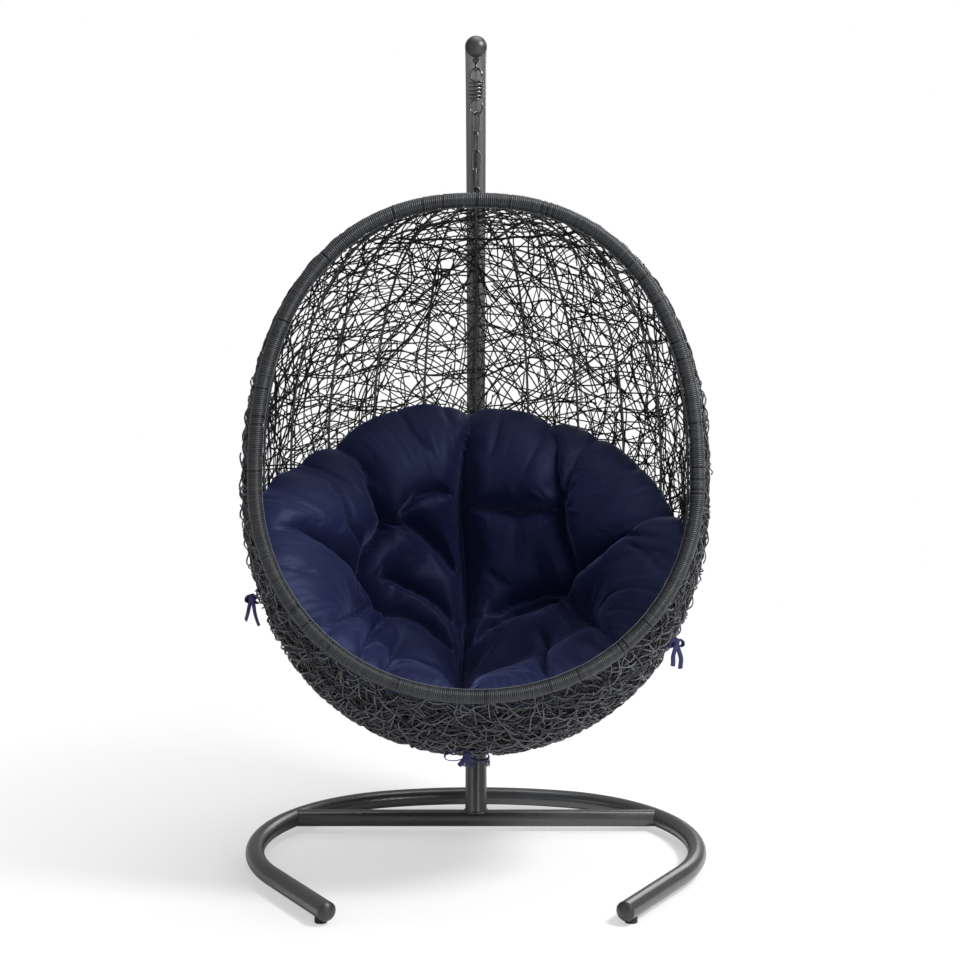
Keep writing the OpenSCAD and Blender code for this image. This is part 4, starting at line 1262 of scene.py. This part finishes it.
    def _sewing(self, plain: Array) -> tuple[Array, Array]:
        """Depth of all creases and tufts at points of the plain top, and where thread holds."""
        depth, held = np.zeros(len(plain)), np.zeros(len(plain))
        for crease in CREASES:
            line, weight = self._line(crease)
            for part in range(0, len(plain), self.block):
                block = slice(part, part + self.block)
                gap = np.linalg.norm(plain[block, None] - line[None], axis=2)
                near = gap.argmin(1)
                dist = gap[np.arange(len(near)), near]
                near_line = np.clip(1 - dist / (self.lobe * crease.width * MM), 0, 1)
                carve = (crease.depth * MM * self.deepen * weight[near]
                         * (1 - np.sqrt(1 - near_line ** 2)))
                depth[block] = np.maximum(depth[block], carve)
                grip = weight[near] * min(1, crease.depth / self.full_grip) * np.clip(
                    1.15 - dist / (self.lobe * crease.width * MM * 0.55), 0, 1)
                held[block] = np.maximum(held[block], grip)
        for run, heading in self.tufts:
            middle = self._plain_top(np.array([run]), np.radians([heading]))
            dist = np.linalg.norm(plain - middle, axis=1)
            depth += self.tuft_depth * np.exp(-dist / self.tuft_r)
            held = np.maximum(held, np.clip(1.3 - dist / 0.03, 0, 1))
        return depth, held

    def _slack(self, plain: Array, run: Array, heading: Array) -> Array:
        """Slack and gathers in the cover."""
        rng = np.random.default_rng(self.seed)
        total = np.zeros(len(plain))
        for size, height in self.slack_waves:
            for _ in range(5):
                way = unit(rng.normal(size=3)) * size * rng.uniform(0.7, 1.4)
                total += height * MM * 0.5 * np.sin(plain @ (way * FULL_TURN)
                                                    + rng.uniform(0, PHASES))
        for k, (tuft_run, tuft_heading) in enumerate(self.tufts):
            middle = self._plain_top(np.array([tuft_run]), np.radians([tuft_heading]))[0]
            away = plain - middle
            dist = np.linalg.norm(away, axis=1)
            normal = unit(self.egg.centre - middle)
            side = unit(np.cross(normal, UP))
            spin = np.arctan2(away @ np.cross(normal, side), away @ side)
            pleat = np.sin(spin * (9 + k) + rng.uniform(0, PHASES)) + 0.5 * np.sin(spin * 17 + k)
            total += self.pleat * pleat * np.exp(-((dist - self.pleat_r) / self.pleat_r) ** 2)
        hem = np.clip((run - 0.8) / 0.2, 0, 1)
        gather = sum(np.sin(heading * n + rng.uniform(0, PHASES)) for n in self.gathers) / 2
        return total + self.gather * gather * hem

    def _fill(self, made: bpy.types.Object) -> None:
        """Blows the slack cover up between its seams.

        Args:
            made: the sewn cushion, changed in place.
        """
        mesh = made.data
        grip = np.zeros(len(mesh.vertices), np.float32)
        mesh.attributes["fixed"].data.foreach_get("value", grip)
        group = made.vertex_groups.new(name="pins")
        group.add(np.flatnonzero(grip > self.pinned).tolist(), 1.0, "REPLACE")
        start = np.zeros(len(mesh.vertices) * 3, np.float32)
        mesh.vertices.foreach_get("co", start)
        cloth = made.modifiers.new("cloth", "CLOTH")
        for name, value in {
                "vertex_group_mass": "pins", "use_pressure": True,
                "uniform_pressure_force": self.pressure, "shrink_min": self.slack,
                "quality": 5, "mass": 0.25, "tension_stiffness": 12.0,
                "compression_stiffness": 12.0, "shear_stiffness": 6.0,
                "bending_stiffness": 0.35, "air_damping": 6.0}.items():
            setattr(cloth.settings, name, value)
        cloth.settings.effector_weights.gravity = 0.0
        cloth.collision_settings.use_collision = False
        cloth.point_cache.frame_start, cloth.point_cache.frame_end = 1, self.frames
        scene = bpy.context.scene
        for frame_number in range(1, self.frames + 1):
            scene.frame_set(frame_number)
        done = made.evaluated_get(bpy.context.evaluated_depsgraph_get()).to_mesh()
        end = np.zeros(len(mesh.vertices) * 3, np.float32)
        done.vertices.foreach_get("co", end)
        made.modifiers.remove(cloth)
        scene.frame_set(1)
        move = (end - start).reshape(-1, 3)
        size = np.linalg.norm(move, axis=1, keepdims=True)
        LOG.info("cushion cover moved %.1f mm at most", float(size.max()) / MM)
        free = (1 - np.clip(grip, 0, 1))[:, None]
        move *= free * self.most * np.tanh(size / self.most) / np.maximum(size, 1e-9)
        mesh.vertices.foreach_set("co", start + move.ravel())
        mesh.update()


# ---------------------------------------------------------------- ties


@dataclass
class Tie:
    """A knotted ribbon that holds the cushion to the wall."""

    node: str
    loops: bool
    drift: float
    seed: int
    width: float = 10.0 * MM
    cloth_t: float = 0.8 * MM
    knot_r: float = 9.5 * MM
    proud: float = 9.0 * MM
    spread: float = 13.0 * MM
    loop_w: float = 15.0 * MM
    loop_h: float = 8.0 * MM
    hang: float = 1.0
    knot_drop: float = 8.0 * MM
    aside: float = 0.45
    short_tail: float = 0.86
    ripple: float = 2.2 * MM
    loop_reach: float = 1.25
    cup: float = 1.1 * MM
    turns: tuple[float, ...] = (-0.75, 0.15, 0.8)

    def build(self, material: bpy.types.Material) -> None:
        """Knots the ribbon where its CAD solid is.

        Args:
            material: the ribbon's finish.
        """
        low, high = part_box(self.node)
        rng = np.random.default_rng(self.seed)
        knot = np.array([(low.x + high.x) / 2, (low.y + high.y) / 2, high.z - self.knot_drop])
        aside = np.sign(knot[0]) * (not self.loops)
        knot += self.proud * np.array([aside, -1.0, 0.0])
        length = (high.z - low.z - self.knot_drop) * self.hang
        out = unit(np.array([self.aside * aside, -1.0, 0.0]))
        across = unit(np.cross(UP, out))
        bm = bmesh.new()
        for side in (-1, 1):
            self._strip(bm, self._tail(knot, across, side, out, length, rng), out, 0.35)
            self._strip(bm, self._loop(knot, across * side, out), out, 0.5, 1.0)
        for tilt in self.turns:
            self._strip(bm, self._turn(knot, across, out, tilt), out, 0.0)
        bmesh.ops.solidify(bm, geom=list(bm.faces), thickness=self.cloth_t)
        bmesh.ops.recalc_face_normals(bm, faces=bm.faces)
        made = finish_mesh(self.node + "_ribbon", bm, material)
        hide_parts(self.node)
        on_basket(made)

    def _tail(self, knot: Array, across: Array, side: int, out: Array, length: float,
              rng: np.random.Generator) -> Array:
        """Centre line of a hanging tail.

        Args:
            knot: the knot's middle.
            across: level direction that the tails spread along.
            side: which tail, -1 or 1.
            out: direction away from the wall.
            length: how far it hangs.
            rng: source of the random draws.

        Returns:
            The points.
        """
        s = np.linspace(0, 1, 16)[:, None]
        sway = side * self.spread * rng.uniform(0.8, 1.2) + self.drift
        hang = length * (1.0 if side > 0 else self.short_tail) * s
        ripple = self.ripple * np.sin(7 * s + rng.uniform(0, PHASES))
        return (knot + across * (side * 2 * MM + sway * s ** 1.2 + ripple * s)
                + out * (4 * MM + 3 * MM * np.sin(s * 3.0) + ripple * s)
                - UP * hang)

    def _loop(self, knot: Array, side: Array, out: Array) -> Array:
        """Centre line of a bow's loop."""
        s = np.linspace(0, FULL_TURN, 26)[:, None]
        return (knot + side * self.loop_w * (1 - np.cos(s)) / 2 * self.loop_reach
                + UP * (self.loop_h * np.sin(s) - 3 * MM * (1 - np.cos(s)))
                + out * (3 * MM + 1.5 * MM * np.sin(s)))

    def _turn(self, knot: Array, across: Array, out: Array, tilt: float) -> Array:
        """Centre line of one turn of ribbon round the knot."""
        s = np.linspace(0, FULL_TURN, 20)[:, None]
        up = UP * math.cos(tilt) + across * math.sin(tilt)
        return knot + up * (self.knot_r * 0.82 * np.sin(s)) + out * (
            1 * MM + self.knot_r * 0.75 * np.cos(s))

    def _strip(self, bm: bmesh.types.BMesh, path: Array, out: Array, twist: float,
               turned: float = 0.0) -> None:
        """Adds a slightly cupped strip along a path.

        Args:
            bm: the mesh that it is added to.
            path: its centre line.
            out: direction that its face looks to.
            twist: turn of its far end, in radians.
            turned: turn of all of it, in radians.
        """
        ahead = unit(np.gradient(path, axis=0))
        flat = unit(np.cross(ahead, out) + 1e-4)
        spin = turned + np.linspace(0, twist, len(path))[:, None]
        flat = unit(flat * np.cos(spin) + np.cross(ahead, flat) * np.sin(spin))
        cup = unit(np.cross(flat, ahead)) * self.cup
        rows = [[bm.verts.new(p) for p in path + flat * (k * self.width / 2) + cup * (1 - k * k)]
                for k in (-1.0, -0.5, 0.0, 0.5, 1.0)]
        edges = [[bm.edges.new(pair) for pair in zip(row, row[1:])] for row in rows]
        for one, other in zip(edges, edges[1:]):
            bmesh.ops.bridge_loops(bm, edges=one + other)


# ---------------------------------------------------------------- stage


@dataclass
class Stage:
    """Pale floor, soft lamps and the camera."""

    focal: float = 71.25
    height: float = 1.489
    distance: float = 4.479
    pitch: float = 7.37
    shift: float = 4.0 / 960.0
    floor_size: float = 60.0
    lamps: tuple[tuple[str, tuple[float, float, float], float, float], ...] = (
        ("key", (2.6, -1.7, 3.9), 1.0, 200.0),
        ("strip", (1.7, -3.3, 1.3), 0.5, 14.0),
        ("fill", (-3.4, -3.0, 2.4), 2.4, 16.0),
        ("top", (0.3, 0.2, 4.4), 2.0, 60.0),
        ("rear", (1.8, 3.4, 2.6), 2.0, 40.0),
    )
    target: tuple[float, float, float] = (0.0, -0.1, 0.95)
    ambient: float = 0.34
    floor_near: float = 0.6
    floor_far: float = 1.7
    floor_share: float = 0.5
    floor_tone: float = 0.93

    def build(self) -> None:
        """Makes the stage."""
        self._camera()
        self._floor()
        self._world()
        for name, at, size, watts in self.lamps:
            self._lamp(name, at, size, watts)
        bpy.context.scene.view_settings.view_transform = "Standard"

    def _camera(self) -> None:
        """Camera at the standing viewer's place."""
        data = bpy.data.cameras.new("camera")
        data.lens = self.focal
        data.sensor_width = 36.0
        data.shift_x = self.shift
        made = show("camera", data)
        made.location = (0.0, -self.distance, self.height)
        made.rotation_euler = (math.radians(90.0 - self.pitch), 0.0, 0.0)
        bpy.context.scene.camera = made

    def _lamp(self, name: str, at: tuple[float, float, float], size: float, watts: float) -> None:
        """One square soft lamp that faces the chair."""
        data = bpy.data.lights.new(name, "AREA")
        data.energy = watts
        data.size = size
        made = show(name, data)
        made.location = at
        made.rotation_euler = (Vector(self.target) - Vector(at)).to_track_quat("-Z", "Y").to_euler()

    def _floor(self) -> None:
        """White floor that keeps a soft shadow."""
        tone = self.floor_tone
        shader = Shader("floor_white", {"Base Color": (tone, tone, tone), "Roughness": 0.9,
                                        "Specular IOR Level": 0.2})
        glow = shader.node("ShaderNodeEmission", None, {0: (1.0, 1.0, 1.0), 1: 1.0})
        away = shader.node("ShaderNodeVectorMath", {"operation": "LENGTH"}, {0: shader.place()})
        far = Wave(shader, away.outputs["Value"]).above(self.floor_near, self.floor_far)
        share = shader.camera_share() * (far * (1 - self.floor_share) + self.floor_share)
        mix = shader.node("ShaderNodeMixShader", None, {
            0: share, 1: shader.surface.outputs[0], 2: glow.outputs[0]})
        shader.join(mix.outputs[0], shader.output.inputs["Surface"])
        bm = bmesh.new()
        bmesh.ops.create_grid(bm, x_segments=1, y_segments=1, size=self.floor_size / 2)
        finish_mesh("floor", bm, shader.material)

    def _world(self) -> None:
        """White behind the chair, softer as light."""
        world = bpy.data.worlds.new("surroundings")
        bpy.context.scene.world = world
        nodes = Nodes(world)
        out = nodes.node("ShaderNodeOutputWorld")
        soft, white = (nodes.node("ShaderNodeBackground", None, {0: (1.0, 1.0, 1.0), 1: strength})
                       for strength in (self.ambient, 1.0))
        mix = nodes.node("ShaderNodeMixShader", None, {
            0: nodes.camera_share(), 1: soft.outputs[0], 2: white.outputs[0]})
        nodes.join(mix.outputs[0], out.inputs[0])


def main() -> None:
    """Builds every part in order."""
    logging.basicConfig(level=logging.INFO, format="%(message)s")
    egg = Egg(hang_y=middle_of("chain_link_3").y,
              level_z=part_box("basket_weave")[1].z - Egg.wall.up)
    LOG.info("egg level at %.4f, hang axis at %.4f", egg.level_z, egg.hang_y)
    Stage().build()
    Stand().build()
    Hanger().build()
    Ribs(egg).build()
    Weave(egg).build()
    RimWinding(egg).build()
    Cushion(egg).build()
    ribbon = SatinCloth("tie_satin", (0.028, 0.024, 0.075), (0.045, 0.040, 0.115),
                        (0.4, 0.4, 0.8)).make()
    for tie in (Tie("tie_left", False, 0.0, 21), Tie("tie_right", False, 2 * MM, 22),
                Tie("tie_bottom", True, 0.0, 23, loop_w=40 * MM, loop_h=12 * MM, hang=0.5)):
        tie.build(ribbon)


if __name__ == "__main__":
    main()
